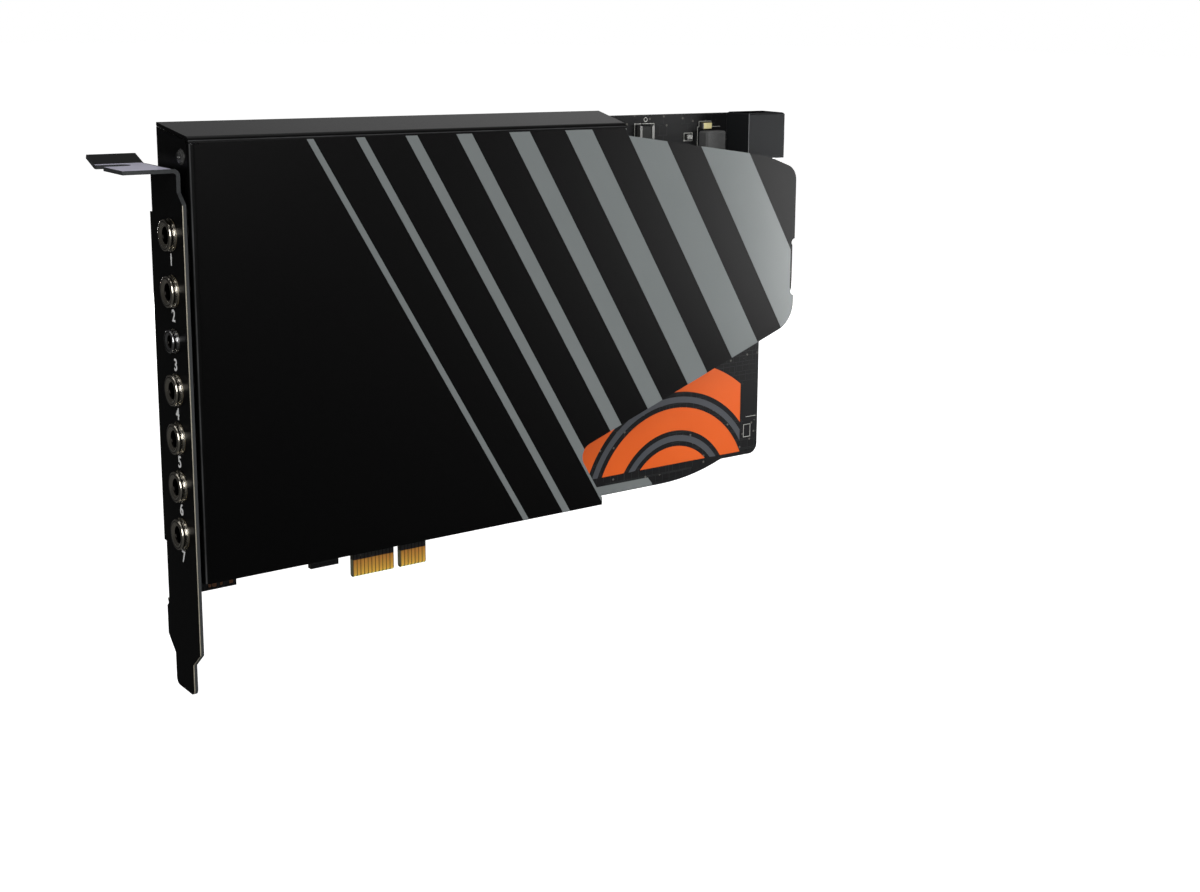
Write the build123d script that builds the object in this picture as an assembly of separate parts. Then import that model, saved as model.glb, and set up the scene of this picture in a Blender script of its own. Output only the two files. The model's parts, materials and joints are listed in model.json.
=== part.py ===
from build123d import *
import os
from math import hypot

# A sound card for an expansion slot, standing upright with its bracket at the left end.
# X runs along the card away from the bracket, Y from the component side to the solder side, Z up.
# The origin is the middle of the key notch in the contact edge, at half the board's thickness.
# Sizes are in millimetres. "Start" sizes along X are measured from the bracket's outer face.

# Drawing aids
cut_margin = 1.0                # how far a cut runs past what it cuts
fold_run = 1.0                  # straight stretch drawn beside a fold

# Circuit board
board_thickness = 1.57
board_start = 3.0
board_length = 172.2
board_height = 111.15           # contact edge to top edge
board_base = 8.3                # contact edge to the long lower edge
board_corner_radius = 2.8
lower_rise_start = 140.0        # where the lower edge begins to curve up
lower_rise_length = 21.7
lower_rise = 3.9
left_tab_length = 12.1
second_tab_start = 34.0
second_tab_length = 7.3
tab_drop = 4.0                  # how far the two plain tabs hang below the lower edge

# Edge connector
key_from_bracket = 57.3
key_width = 1.9
key_depth = 7.4
long_tongue = 11.15
short_tongue = 7.15
tongue_bevel = 0.4
contact_pitch = 1.0
contact_width = 0.76
contact_length = 5.2
contact_thickness = 0.05
contact_lift = 0.45             # bare laminate below each contact
long_contact_count = 11
short_contact_count = 7
contact_key_gap = 0.6           # key notch to the middle of the nearest contact

# Slot bracket
bracket_sheet = 0.9
bracket_bend = 0.6              # inside radius
bracket_width = 18.42
bracket_near_reach = 14.3       # component face of the board to the bracket's near edge
bracket_top_drop = 7.75         # board's top edge to the bracket's top
bracket_tip = -16.4
bracket_step_width = 2.66       # the near edge steps in by this much near the top
bracket_step_top_drop = 5.1     # below the bracket's top
bracket_step_bottom_drop = 7.4
tongue_width = 10.2
tongue_inset = 4.3              # near edge to the tongue
shoulder_top = -5.4
shoulder_bottom = -9.0
tongue_corner = 1.6
bracket_tab_length = 11.43
bracket_tab_width = 21.59
bracket_tab_rise = 1.9          # the far end of the tab is turned up
bracket_tab_rise_run = 5.0
screw_notch_width = 4.42
screw_notch_reach = 7.0         # bracket face to the middle of the notch's round end
screw_notch_from_near = 13.4    # near edge of the tab to the middle of the notch
ear_length = 14.0
ear_margin = 4.4                # bracket screw to the ear's end
relief_radius = 0.8
relief_height = 2.3
collar_radius = 2.4

# Sockets
jack_axis_height = 7.0          # above the component face
jack_to_screw = 8.5             # bracket screw to the nearest socket's axis
jack_first_extra = 1.4          # the first socket stands this much further from the others
jack_count = 7
small_jack_number = 3           # its bushing is the smaller size
barrel_radius = 3.5
small_barrel_radius = 2.6
bore_radius = 1.8
small_bore_radius = 1.3
barrel_front = 1.5              # stands proud of the bracket
barrel_clearance = 0.25
barrel_edge = 0.2
groove_depth = 0.4
groove_start = 0.45
groove_width = 0.4
mouth_widening = 0.8
mouth_depth = 0.5
jack_setback = 0.3              # bracket to the bushing's flange
bushing_flange_inset = 0.8      # socket housing's side to the flange
bushing_flange_thickness = 1.0
bushing_stub_radius = 3.0
bushing_stub_length = 2.0
stub_clearance = 0.05
housing_length = 12.4
housing_gap = 0.6               # between neighbouring housings
housing_rise = 4.6              # housing above the socket's axis
housing_chamfer = 0.8
housing_back_wall = 2.0
housing_bore_clearance = 0.3
spring_thickness = 0.3
spring_width = 1.6
spring_offset = 2.9             # socket axis to the straight part of the spring
spring_bump_gap = 0.05          # plug surface to the spring's bump
spring_tail = 1.6
spring_tip_gap = 0.7            # bushing stub to the spring's free end
spring_bump_place = 0.25        # share of the way from the free end to the housing's back
spring_rest_place = 0.55
spring_slot_clearance = 0.2
emitter_radius = 1.7
emitter_length = 2.4

# Shroud
shroud_sheet = 0.8
shroud_bend = 0.6               # inside radius
shroud_start = 1.8
shroud_end_gap = 0.2            # board's right end to the shroud's right end
shroud_depth = 14.5             # component face to the shroud's outer face
shroud_bottom = 11.0
shroud_fold_drop = 0.85         # board's top edge to the front of the top flange
flange_gap = 0.1                # board's top edge to the flange above it
flange_overhang = 1.45          # beyond the solder side
flange_end = 116.6              # the top flange and the fold end here
flange_end_slant = 3.9
lip_depth = 2.6
end_plate_height = 11.6         # the left end is closed this far below the board's top edge
end_plate_corner = 3.0
seam_gap = 0.15
corner_relief = 0.12
lower_cut_start = 109.7
lower_cut_step = 1.9
lower_cut_inner_start = 101.8
lower_cut_inner_height = 26.6
lower_cut_inner_radius = 3.5
lower_cut_outer_height = 53.4
lower_cut_outer_radius = 8.0
upper_cut_drop = 3.95           # board's top edge to the cut at the flange's end
upper_cut_bend_inset = 11.0
upper_cut_bend_drop = 10.85
upper_cut_bend_radius = 30.0
upper_cut_corner_drop = 14.85
upper_cut_corner_radius = 4.5
upper_cut_relief_radius = 0.9
end_tab_low = 62.9
end_tab_high = 74.9
end_relief_radius = 1.1
end_relief_overlap = 0.25       # how far each relief bites into the tab

# Fasteners
screw_radius = 1.2
screw_hole_clearance = 0.4
thread_clearance = 0.05
screw_head_radius = 2.5
screw_head_height = 1.5
screw_head_edge = 0.4
screw_length = 6.0
bracket_screw_length = 4.6
bracket_screw_start = 9.5
upper_screw_drop = 6.2          # bracket's top to the upper bracket screw
lower_screw_rise = 4.5          # board's lower edge to the lower bracket screw
standoff_radius = 2.5
upper_standoffs = [(30.0, 10.15), (110.0, 11.65)]       # start and drop below the board's top edge
lower_standoff = (96.0, 17.5)                           # start and height
right_standoff = (11.2, 66.0)                           # inset from the board's right end and height
corner_block_size = 6.0
corner_block_clearance = 0.6
flange_screw_drop = 5.35        # below the board's top edge
flange_screw_depth = 10.6       # above the component face
flange_screw_head_radius = 1.7
flange_screw_head_height = 0.6

# Power header
header_width = 13.0
header_depth = 9.6
header_height = 12.5
header_inset = 0.7              # board's right end to the header
header_overhang = 0.35          # above the board's top edge
header_chamfer = 0.4
cell_pitch = 4.2
cell_size = 3.5
cell_key_cut = 0.9              # every second cell has two cut corners, so that the plug fits one way
cell_columns = 3
cell_rows = 2
cell_depth = 10.0
header_pin_size = 1.14
header_pin_clearance = 0.05
header_pin_top_drop = 2.5       # below the mating face
header_pin_exit = 1.6           # below the housing
header_pin_bend = 0.7

# Board components
package_standoff = 0.1
lead_thickness = 0.2
lead_width = 0.4
lead_reach = 1.1
lead_overlap = 0.6
package_chamfer = 0.25
processor_size = 14.0
processor_height = 1.4
processor_place = (88.0, 38.0)
processor_leads = 15
bridge_size = 10.0
bridge_height = 1.2
bridge_place = (61.0, 26.0)
bridge_leads = 11
converter_length = 10.2
converter_width = 5.3
converter_height = 1.8
converter_leads = 10
output_converter_place = (42.0, 45.0)   # start and drop below the board's top edge
input_converter_place = (42.0, 40.0)    # start and height
amplifier_size = 7.0
amplifier_height = 1.0
amplifier_leads = 8
headphone_amplifier_place = (40.0, 29.0)
small_amplifier_length = 4.9
small_amplifier_width = 3.9
small_amplifier_height = 1.6
small_amplifier_leads = 4
small_amplifier_start = 25.0
can_radius = 3.15
can_height = 7.7
can_base = 6.6
can_base_height = 0.9
can_base_corner = 1.3
can_edge = 0.5
can_groove = 0.35
can_groove_height = 1.9
can_first = (60.0, 24.0)        # start and drop of the upper left one
can_step = 11.5
can_columns = 3
can_rows = 3
film_length = 7.3
film_width = 5.0
film_height = 6.0
film_edge = 0.5
film_first = (98.0, 18.0)
film_step = 9.0
film_count = 4
crystal_length = 5.0
crystal_width = 3.2
crystal_height = 1.0
crystal_places = [(74.0, 36.0), (61.0, 40.0)]
regulator_length = 6.5
regulator_width = 3.5
regulator_height = 1.7
regulator_tab_width = 3.0
regulator_leads = 3
regulator_inset = (51.0, 25.0)   # right end and top edge to the left one
regulator_step = 12.0
regulator_count = 3
relay_length = 10.6
relay_width = 7.2
relay_height = 5.5
relay_first = (48.0, 13.5)
relay_step = 15.0
relay_count = 2
resistor_length = 2.0
resistor_width = 1.25
resistor_height = 0.5
resistor_first = (112.0, 46.0)
resistor_gap = 17.0             # last column to the right standoff
resistor_columns = 8
resistor_rows = 2
coil_size = 7.0
coil_height = 3.5
coil_edge = 0.5
coil_inset = (19.9, 8.15)       # from the board's right end and top edge
fuse_length = 4.5
fuse_width = 3.2
fuse_height = 1.4
fuse_cap_length = 0.7
fuse_cap_thickness = 0.12
fuse_inset = (42.1, 4.55)
cream_length = 3.2
cream_width = 1.6
cream_height = 1.3
cream_inset = (21.4, 3.35)
small_part_edge = 0.12
lamp_length = 2.0
lamp_width = 1.25
lamp_height = 0.9
lamp_inset = (27.2, 6.25)

# Places that follow from the sizes
bracket_x = -key_from_bracket
front_y = -board_thickness / 2
rear_y = board_thickness / 2
board_left = bracket_x + board_start
board_right = board_left + board_length
near_y = front_y - bracket_near_reach
far_y = near_y + bracket_width
shroud_left = bracket_x + shroud_start
shroud_right = board_right - shroud_end_gap
shroud_y = front_y - shroud_depth
jack_y = front_y - jack_axis_height
bracket_top = board_height - bracket_top_drop
upper_screw_height = bracket_top - upper_screw_drop
lower_screw_height = board_base + lower_screw_rise
bracket_screw_heights = [upper_screw_height, lower_screw_height]
jack_heights = [upper_screw_height - jack_to_screw]
jack_column = jack_heights[0] - jack_first_extra - lower_screw_height - jack_to_screw
jack_pitch = jack_column / (jack_count - 1)
for step_count in range(1, jack_count):
    jack_heights.append(jack_heights[0] - jack_first_extra - step_count * jack_pitch)
optical_jack_number = jack_count
housing_width = jack_pitch - housing_gap
bushing_flange_radius = housing_width / 2 - bushing_flange_inset
right_standoff_start = board_start + board_length - right_standoff[0]
standoff_places = [(start, board_height - drop) for start, drop in upper_standoffs]
standoff_places += [lower_standoff, (right_standoff_start, right_standoff[1])]
resistor_step = (right_standoff_start - resistor_gap - resistor_first[0]) / (resistor_columns - 1)
flange_front = -bracket_sheet - jack_setback
housing_front = flange_front - bushing_flange_thickness
housing_back = housing_front - housing_length
stub_back = housing_front - bushing_stub_length
header_x = board_right - header_inset - header_width / 2
header_top = board_height + header_overhang
header_bottom = header_top - header_height
header_cells = []
for column in range(cell_columns):
    for row in range(cell_rows):
        cell_x = header_x + (column - (cell_columns - 1) / 2) * cell_pitch
        cell_y = front_y - header_depth / 2 + (row - (cell_rows - 1) / 2) * cell_pitch
        header_cells.append((cell_x, cell_y))
component_side = Plane(origin=(0, front_y, 0), x_dir=(1, 0, 0), z_dir=(0, -1, 0))
solder_side = Plane(origin=(0, rear_y, 0), x_dir=(-1, 0, 0), z_dir=(0, 1, 0))


def along_x(section, start, length):
    """Extrude a section drawn in Y and Z from X = start."""
    return extrude(Plane.YZ.offset(start) * section, length)


def along_y(section, start, length):
    """Extrude a section drawn in X and Z from Y = start."""
    return extrude(Plane.XZ.offset(-start - length) * section, length)


def along_z(section, start, length):
    """Extrude a section drawn in X and Y from Z = start."""
    return extrude(Plane.XY.offset(start) * section, length)


def outline(points, radii):
    """Closed face through points, each corner with its own radius."""
    return make_face(FilletPolyline(*points, radius=radii, close=True))


def folded_section(points, inside_radius, sheet):
    """Section of a folded sheet, from the corner points of its middle line."""
    return trace(FilletPolyline(*points, radius=inside_radius + sheet / 2), sheet)


def turned(profile):
    """Solid of revolution about local Z, from radius and height points."""
    return revolve(Plane.XZ * make_face(Polyline(*profile, close=True)), Axis.Z)


def rod_y(x, z, radius, start, length):
    """Round rod along Y."""
    return along_y(Pos(x, z) * Circle(radius), start, length)


def rod_x(y, z, radius, start, length):
    """Round rod along X."""
    return along_x(Pos(y, z) * Circle(radius), start, length)


def on_board(start, height, shape):
    """Seat a component, modelled with its foot on local Z = 0, on the board's component side."""
    return component_side * Pos(bracket_x + start, height, 0) * shape


def block(length, width, height, lift=0.0):
    """Rectangular block standing on local Z = lift."""
    return Pos(0, 0, lift) * Box(length, width, height, align=(Align.CENTER, Align.CENTER, Align.MIN))


def screw(length, head_radius=screw_head_radius, head_height=screw_head_height):
    """Pan-head screw: the head stands on local Z = 0 and the shank goes down."""
    profile = [(0, -length), (screw_radius, -length), (screw_radius, 0), (head_radius, 0)]
    profile += [(head_radius, head_height - screw_head_edge), (head_radius - screw_head_edge, head_height)]
    profile += [(0, head_height)]
    return turned(profile)


def circuit_board():
    """Board with its contact tongue, key notch, two plain tabs and screw holes."""
    tongue_left = -key_width / 2 - long_tongue
    tongue_right = key_width / 2 + short_tongue
    tab_bottom = board_base - tab_drop
    second_tab = bracket_x + second_tab_start
    rise_start = bracket_x + lower_rise_start
    rise_end = rise_start + lower_rise_length
    corner_z = board_base + lower_rise
    left_run = Polyline(
        (board_left, board_height), (board_left, tab_bottom), (board_left + left_tab_length, tab_bottom),
        (board_left + left_tab_length, board_base), (second_tab, board_base), (second_tab, tab_bottom),
        (second_tab + second_tab_length, tab_bottom), (second_tab + second_tab_length, board_base),
        (tongue_left, board_base), (tongue_left, 0), (-key_width / 2, 0), (-key_width / 2, key_depth),
        (key_width / 2, key_depth), (key_width / 2, 0), (tongue_right, 0), (tongue_right, board_base),
        (rise_start, board_base))
    rise = TangentArc((rise_start, board_base), (rise_end, corner_z), tangent=(1, 0))
    right_run = Polyline(
        (rise_end, corner_z), (board_right, corner_z), (board_right, board_height),
        (board_left, board_height))
    face = make_face(left_run.edges() + rise.edges() + right_run.edges())
    corner = face.vertices().sort_by_distance((board_right, corner_z, 0))[0]
    board = along_y(fillet(corner, board_corner_radius), front_y, board_thickness)
    tips = board.edges().filter_by(Axis.X).group_by(Axis.Z)[0]
    board = chamfer(tips, tongue_bevel)
    holes = [(bracket_x + bracket_screw_start, height) for height in bracket_screw_heights]
    holes += [(bracket_x + start, height) for start, height in standoff_places]
    hole_radius = screw_radius + screw_hole_clearance
    hole_length = board_thickness + 2 * cut_margin
    for x, z in holes:
        board -= rod_y(x, z, hole_radius, front_y - cut_margin, hole_length)
    return board


def edge_contacts(start_y):
    """One row of gilded strips on a face of the tongue."""
    first_long = -key_width / 2 - contact_key_gap
    first_short = key_width / 2 + contact_key_gap
    places = [first_long - contact_pitch * number for number in range(long_contact_count)]
    places += [first_short + contact_pitch * number for number in range(short_contact_count)]
    strip = Rectangle(contact_width, contact_length, align=(Align.CENTER, Align.MIN))
    strips = [along_y(Pos(x, contact_lift) * strip, start_y, contact_thickness) for x in places]
    return Compound(children=strips)


def slot_bracket():
    """Folded steel bracket: plate, turned-out tab, two ears with collars, and the socket holes."""
    outside_bend = bracket_bend + bracket_sheet
    upper_near_y = near_y + bracket_step_width
    tongue_near = near_y + tongue_inset
    tongue_far = tongue_near + tongue_width
    plate_top = bracket_top - outside_bend
    plate_points = [
        (upper_near_y, plate_top), (upper_near_y, bracket_top - bracket_step_top_drop),
        (near_y, bracket_top - bracket_step_bottom_drop),
        (near_y, shoulder_top), (tongue_near, shoulder_bottom), (tongue_near, bracket_tip),
        (tongue_far, bracket_tip), (tongue_far, shoulder_bottom), (far_y, shoulder_top), (far_y, plate_top)]
    plate_radii = [0, 0, 0, 0, 0, tongue_corner, tongue_corner, 0, 0, 0]
    bracket = along_x(outline(plate_points, plate_radii), bracket_x, bracket_sheet)
    middle_x = bracket_x + bracket_sheet / 2
    middle_z = bracket_top - bracket_sheet / 2
    fold_x = bracket_x - bracket_bend
    fold_points = [
        (middle_x, plate_top - fold_run), (middle_x, middle_z), (fold_x - fold_run, middle_z)]
    fold = folded_section(fold_points, bracket_bend, bracket_sheet)
    bracket += along_y(fold, upper_near_y, far_y - upper_near_y)
    tab_far_y = upper_near_y + bracket_tab_width
    rise_y = tab_far_y - bracket_tab_rise_run
    tab_points = [(upper_near_y, middle_z), (rise_y, middle_z), (tab_far_y, middle_z + bracket_tab_rise)]
    tab = folded_section(tab_points, bracket_tab_rise_run / 2, bracket_sheet)
    tab_left = bracket_x - bracket_tab_length
    bracket += along_x(tab, tab_left, fold_x - tab_left)
    notch_x = bracket_x - screw_notch_reach
    notch_y = upper_near_y + screw_notch_from_near
    notch = Pos(notch_x, notch_y) * Circle(screw_notch_width / 2)
    notch += Pos(notch_x, notch_y) * Rectangle(
        bracket_tab_length, screw_notch_width, align=(Align.MAX, Align.CENTER))
    notch_low = bracket_top - bracket_sheet - cut_margin
    bracket -= along_z(notch, notch_low, bracket_top + bracket_tab_rise + cut_margin - notch_low)
    ear_y = far_y - bracket_sheet / 2
    ear_points = [
        (middle_x, far_y - outside_bend - fold_run), (middle_x, ear_y), (bracket_x + ear_length, ear_y)]
    ear_section = folded_section(ear_points, bracket_bend, bracket_sheet)
    ear_spans = [
        (upper_screw_height - ear_margin, upper_screw_height + ear_margin),
        (relief_height + relief_radius, lower_screw_height + ear_margin)]
    screw_x = bracket_x + bracket_screw_start
    corner = Pos(bracket_x, far_y) * Rectangle(
        2 * outside_bend, 2 * outside_bend, align=(Align.CENTER, Align.CENTER))
    for low, high in ear_spans:
        bracket -= along_z(corner, low, high - low)
        ear = along_z(ear_section, low, high - low)
        tips = ear.edges().filter_by(Axis.Y).group_by(Axis.X)[-1]
        bracket += fillet(tips, ear_margin / 2)
    for height in bracket_screw_heights:
        bracket += rod_y(screw_x, height, collar_radius, rear_y, ear_y - rear_y)
        bracket -= rod_y(
            screw_x, height, screw_radius + thread_clearance, rear_y - cut_margin,
            far_y - rear_y + 2 * cut_margin)
    hole_start = bracket_x - cut_margin
    hole_length = bracket_sheet + 2 * cut_margin
    for number, height in enumerate(jack_heights, 1):
        hole_radius = jack_barrel_radius(number) + barrel_clearance
        bracket -= rod_x(jack_y, height, hole_radius, hole_start, hole_length)
    bracket -= rod_x(far_y, relief_height, relief_radius, hole_start, hole_length)
    return bracket


def flange_middle(y):
    """Height of the middle of the sloping top flange at a given Y."""
    middle_y = shroud_y + shroud_sheet / 2
    front_z = board_height - shroud_fold_drop - shroud_sheet / 2
    run = front_y - middle_y
    rise = board_height + flange_gap + shroud_sheet / 2 - front_z
    sheet_along_slope = shroud_sheet / 2 * (hypot(run, rise) / run - 1)
    return front_z + (rise + sheet_along_slope) * (y - middle_y) / run


def shroud():
    """Folded steel cover: cut face, sloping top flange, left lip and end plate, right end tab."""
    outside_bend = shroud_bend + shroud_sheet
    middle_y = shroud_y + shroud_sheet / 2
    flange_rear = rear_y + flange_overhang
    fold_z = flange_middle(middle_y)
    bend_top = fold_z - shroud_bend - shroud_sheet / 2
    fold_end = bracket_x + flange_end
    inner_y = shroud_y + outside_bend
    blank_points = [(middle_y, shroud_bottom), (middle_y, fold_z), (flange_rear, flange_middle(flange_rear))]
    blank_section = folded_section(blank_points, shroud_bend, shroud_sheet)
    blank = along_x(blank_section, shroud_left, shroud_right - shroud_left)
    over = board_height + shroud_depth
    cut_left = shroud_left - cut_margin
    cut_bottom = shroud_bottom - cut_margin
    lower_x = bracket_x + lower_cut_start
    face_points = [
        (cut_left, cut_bottom), (lower_x, cut_bottom),
        (lower_x, shroud_bottom + lower_cut_step),
        (bracket_x + lower_cut_inner_start, lower_cut_inner_height),
        (shroud_right, lower_cut_outer_height), (shroud_right, board_height - upper_cut_corner_drop),
        (shroud_right - upper_cut_bend_inset, board_height - upper_cut_bend_drop),
        (fold_end, board_height - upper_cut_drop), (fold_end, over), (cut_left, over)]
    face_radii = [
        0, 0, 0, lower_cut_inner_radius, lower_cut_outer_radius, upper_cut_corner_radius,
        upper_cut_bend_radius, upper_cut_relief_radius, 0, 0]
    face = outline(face_points, face_radii)
    cover = blank & along_y(face, shroud_y - cut_margin, outside_bend + cut_margin)
    cut_rear = flange_rear + cut_margin
    flange_face = make_face(Polyline(
        (shroud_left, inner_y), (fold_end, inner_y), (fold_end + flange_end_slant, cut_rear),
        (shroud_left, cut_rear), close=True))
    cover += blank & along_z(flange_face, bend_top - cut_margin, over - bend_top)
    # Left lip, bent from the face, and the end plate above it
    lip_top = bend_top - corner_relief
    corner_run = outside_bend + fold_run
    left_strip = Rectangle(corner_run, 2 * outside_bend, align=(Align.MIN, Align.CENTER))
    cover -= along_z(Pos(shroud_left, shroud_y) * left_strip, cut_bottom, bend_top - cut_bottom)
    lip_x = shroud_left + shroud_sheet / 2
    lip_points = [(lip_x, shroud_y + lip_depth), (lip_x, middle_y), (shroud_left + corner_run, middle_y)]
    lip_section = folded_section(lip_points, shroud_bend, shroud_sheet)
    cover += along_z(lip_section, shroud_bottom, lip_top - shroud_bottom)
    plate_front = inner_y + corner_relief
    under = shroud_sheet / 2 + seam_gap
    plate_low = board_height - end_plate_height
    plate_points = [
        (plate_front, plate_low), (flange_rear, plate_low),
        (flange_rear, flange_middle(flange_rear) - under), (plate_front, flange_middle(plate_front) - under)]
    cover += along_x(outline(plate_points, [0, end_plate_corner, 0, 0]), shroud_left, shroud_sheet)
    hole_y = front_y - flange_screw_depth
    hole_z = board_height - flange_screw_drop
    hole_radius = screw_radius + screw_hole_clearance
    cover -= rod_x(hole_y, hole_z, hole_radius, cut_left, shroud_sheet + 2 * cut_margin)
    # Tab folded back to the board at the right end, between two half-round reliefs
    tab_height = end_tab_high - end_tab_low
    right_strip = Rectangle(corner_run, 2 * outside_bend, align=(Align.MAX, Align.CENTER))
    cover -= along_z(Pos(shroud_right, shroud_y) * right_strip, end_tab_low, tab_height)
    tab_x = shroud_right - shroud_sheet / 2
    tab_points = [(shroud_right - corner_run, middle_y), (tab_x, middle_y), (tab_x, front_y)]
    cover += along_z(folded_section(tab_points, shroud_bend, shroud_sheet), end_tab_low, tab_height)
    relief_step = end_relief_radius - end_relief_overlap
    for height in (end_tab_low - relief_step, end_tab_high + relief_step):
        cover -= rod_y(
            shroud_right, height, end_relief_radius, shroud_y - cut_margin, shroud_sheet + 2 * cut_margin)
    return cover


def jack_barrel_radius(number):
    """Outside radius of a socket's bushing where it passes the bracket."""
    return small_barrel_radius if number == small_jack_number else barrel_radius


def jack_bore_radius(number):
    """Radius of the plug hole."""
    return small_bore_radius if number == small_jack_number else bore_radius


def jack_plane(number):
    """Local Z points out of the bracket along the socket's axis, local X towards the board."""
    origin = (bracket_x, jack_y, jack_heights[number - 1])
    return Plane(origin=origin, x_dir=(0, 1, 0), z_dir=(-1, 0, 0))


def jack_bushing(number):
    """Turned metal nose with two rims, a groove between them and a flange behind the bracket."""
    barrel = jack_barrel_radius(number)
    bore = jack_bore_radius(number)
    profile = [
        (bore, stub_back), (bushing_stub_radius, stub_back), (bushing_stub_radius, housing_front),
        (bushing_flange_radius, housing_front), (bushing_flange_radius, flange_front), (barrel, flange_front),
        (barrel, groove_start), (barrel - groove_depth, groove_start),
        (barrel - groove_depth, groove_start + groove_width), (barrel, groove_start + groove_width),
        (barrel, barrel_front - barrel_edge), (barrel - barrel_edge, barrel_front),
        (bore + mouth_widening, barrel_front), (bore, barrel_front - mouth_depth)]
    return jack_plane(number) * turned(profile)


def jack_housing(number):
    """Moulded block with the plug bore and a slot for the springs."""
    depth = jack_axis_height + housing_rise
    body = Pos(jack_axis_height, 0, housing_front) * Box(
        depth, housing_width, housing_length, align=(Align.MAX, Align.CENTER, Align.MAX))
    body = chamfer(body.edges().filter_by(Axis.Z).group_by(Axis.X)[0], housing_chamfer)
    bore = jack_bore_radius(number) + housing_bore_clearance
    down = (Align.CENTER, Align.CENTER, Align.MAX)
    body -= Pos(0, 0, housing_front) * Cylinder(bore, housing_length - housing_back_wall, align=down)
    counterbore = bushing_stub_radius + stub_clearance
    body -= Pos(0, 0, housing_front) * Cylinder(counterbore, bushing_stub_length, align=down)
    slot_width = spring_width + 2 * spring_slot_clearance
    slot_height = 2 * spring_offset + spring_thickness + 2 * spring_slot_clearance
    body -= Pos(0, 0, stub_back) * Box(slot_width, slot_height, housing_length, align=down)
    return jack_plane(number) * body


def jack_springs(number):
    """Two bent strips that press on the plug, each with a leg down to the board."""
    bump = jack_bore_radius(number) + spring_bump_gap + spring_thickness / 2
    tip = stub_back - spring_tip_gap
    tail = housing_back - spring_tail
    bump_z = tip - (tip - housing_back) * spring_bump_place
    rest_z = tip - (tip - housing_back) * spring_rest_place
    line = Polyline((tip, spring_offset), (bump_z, bump), (rest_z, spring_offset), (tail, spring_offset))
    strip = trace(line, spring_thickness)
    across = Plane(origin=(spring_width / 2, 0, 0), x_dir=(0, 0, 1), z_dir=(-1, 0, 0))
    leg = Pos(-spring_width / 2, spring_offset, tail) * Box(
        jack_axis_height + spring_width / 2, spring_thickness, spring_tail,
        align=(Align.MIN, Align.CENTER, Align.MIN))
    upper = extrude(across * strip, spring_width) + leg
    lower = mirror(upper, Plane.XZ)
    return Compound(children=[jack_plane(number) * upper, jack_plane(number) * lower])


def optical_emitter():
    """Light source at the back of the optical socket's bore."""
    post = Cylinder(emitter_radius, emitter_length, align=(Align.CENTER, Align.CENTER, Align.MIN))
    return jack_plane(optical_jack_number) * Pos(0, 0, housing_back + housing_back_wall) * post


def gull_wing_package(length, width, height, leads, four_sided=False):
    """Moulded package with flat leads on two or four sides."""
    body = block(length, width, height - package_standoff, package_standoff)
    body = chamfer(body.faces().sort_by(Axis.Z)[-1].edges(), package_chamfer)
    reach = lead_reach + lead_overlap
    flat_lead = Box(lead_width, reach, lead_thickness, align=(Align.CENTER, Align.MIN, Align.MIN))
    for number in range(leads):
        offset = (number - (leads - 1) / 2) * length / leads
        lead = Pos(offset, width / 2 - lead_overlap, 0) * flat_lead
        body += [lead, Rot(0, 0, 180) * lead]
        if four_sided:
            side = Pos(offset, length / 2 - lead_overlap, 0) * flat_lead
            body += [Rot(0, 0, 90) * side, Rot(0, 0, 270) * side]
    return body


def beveled_block(length, width, height, edge):
    """Block whose top and upright edges are beveled."""
    body = block(length, width, height)
    return chamfer(body.faces().sort_by(Axis.Z)[-1].edges() + body.edges().filter_by(Axis.Z), edge)


def electrolytic_can():
    """Aluminium can with its crimp groove, on a moulded base with two cut corners."""
    waist = can_radius - can_groove
    profile = [
        (0, 0), (can_radius, 0), (can_radius, can_groove_height), (waist, can_groove_height + can_groove),
        (can_radius, can_groove_height + 2 * can_groove), (can_radius, can_height - can_edge),
        (can_radius - can_edge, can_height), (0, can_height)]
    base = block(can_base, can_base, can_base_height)
    base = chamfer(base.edges().filter_by(Axis.Z).group_by(Axis.X)[0], can_base_corner)
    return turned(profile) + base


def fuse_with_caps():
    """Flat fuse with a metal cap on each end."""
    body = block(fuse_length, fuse_width, fuse_height - 2 * fuse_cap_thickness, fuse_cap_thickness)
    cap = block(fuse_cap_length, fuse_width + 2 * fuse_cap_thickness, fuse_height)
    cap_x = fuse_length / 2 + fuse_cap_thickness - fuse_cap_length / 2
    return body + Pos(cap_x, 0, 0) * cap + Pos(-cap_x, 0, 0) * cap


def regulator_package():
    """Regulator with three leads on one side and a wide tab on the other."""
    body = block(regulator_length, regulator_width, regulator_height - package_standoff, package_standoff)
    body = chamfer(body.faces().sort_by(Axis.Z)[-1].edges(), package_chamfer)
    reach = lead_reach + lead_overlap
    lead = Box(2 * lead_width, reach, lead_thickness, align=(Align.CENTER, Align.MIN, Align.MIN))
    for number in range(regulator_leads):
        offset = (number - (regulator_leads - 1) / 2) * regulator_length / regulator_leads
        body += Pos(offset, -regulator_width / 2 - lead_reach, 0) * lead
    tab = Box(regulator_tab_width, reach, lead_thickness, align=(Align.CENTER, Align.MAX, Align.MIN))
    return body + Pos(0, regulator_width / 2 + lead_reach, 0) * tab


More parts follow.
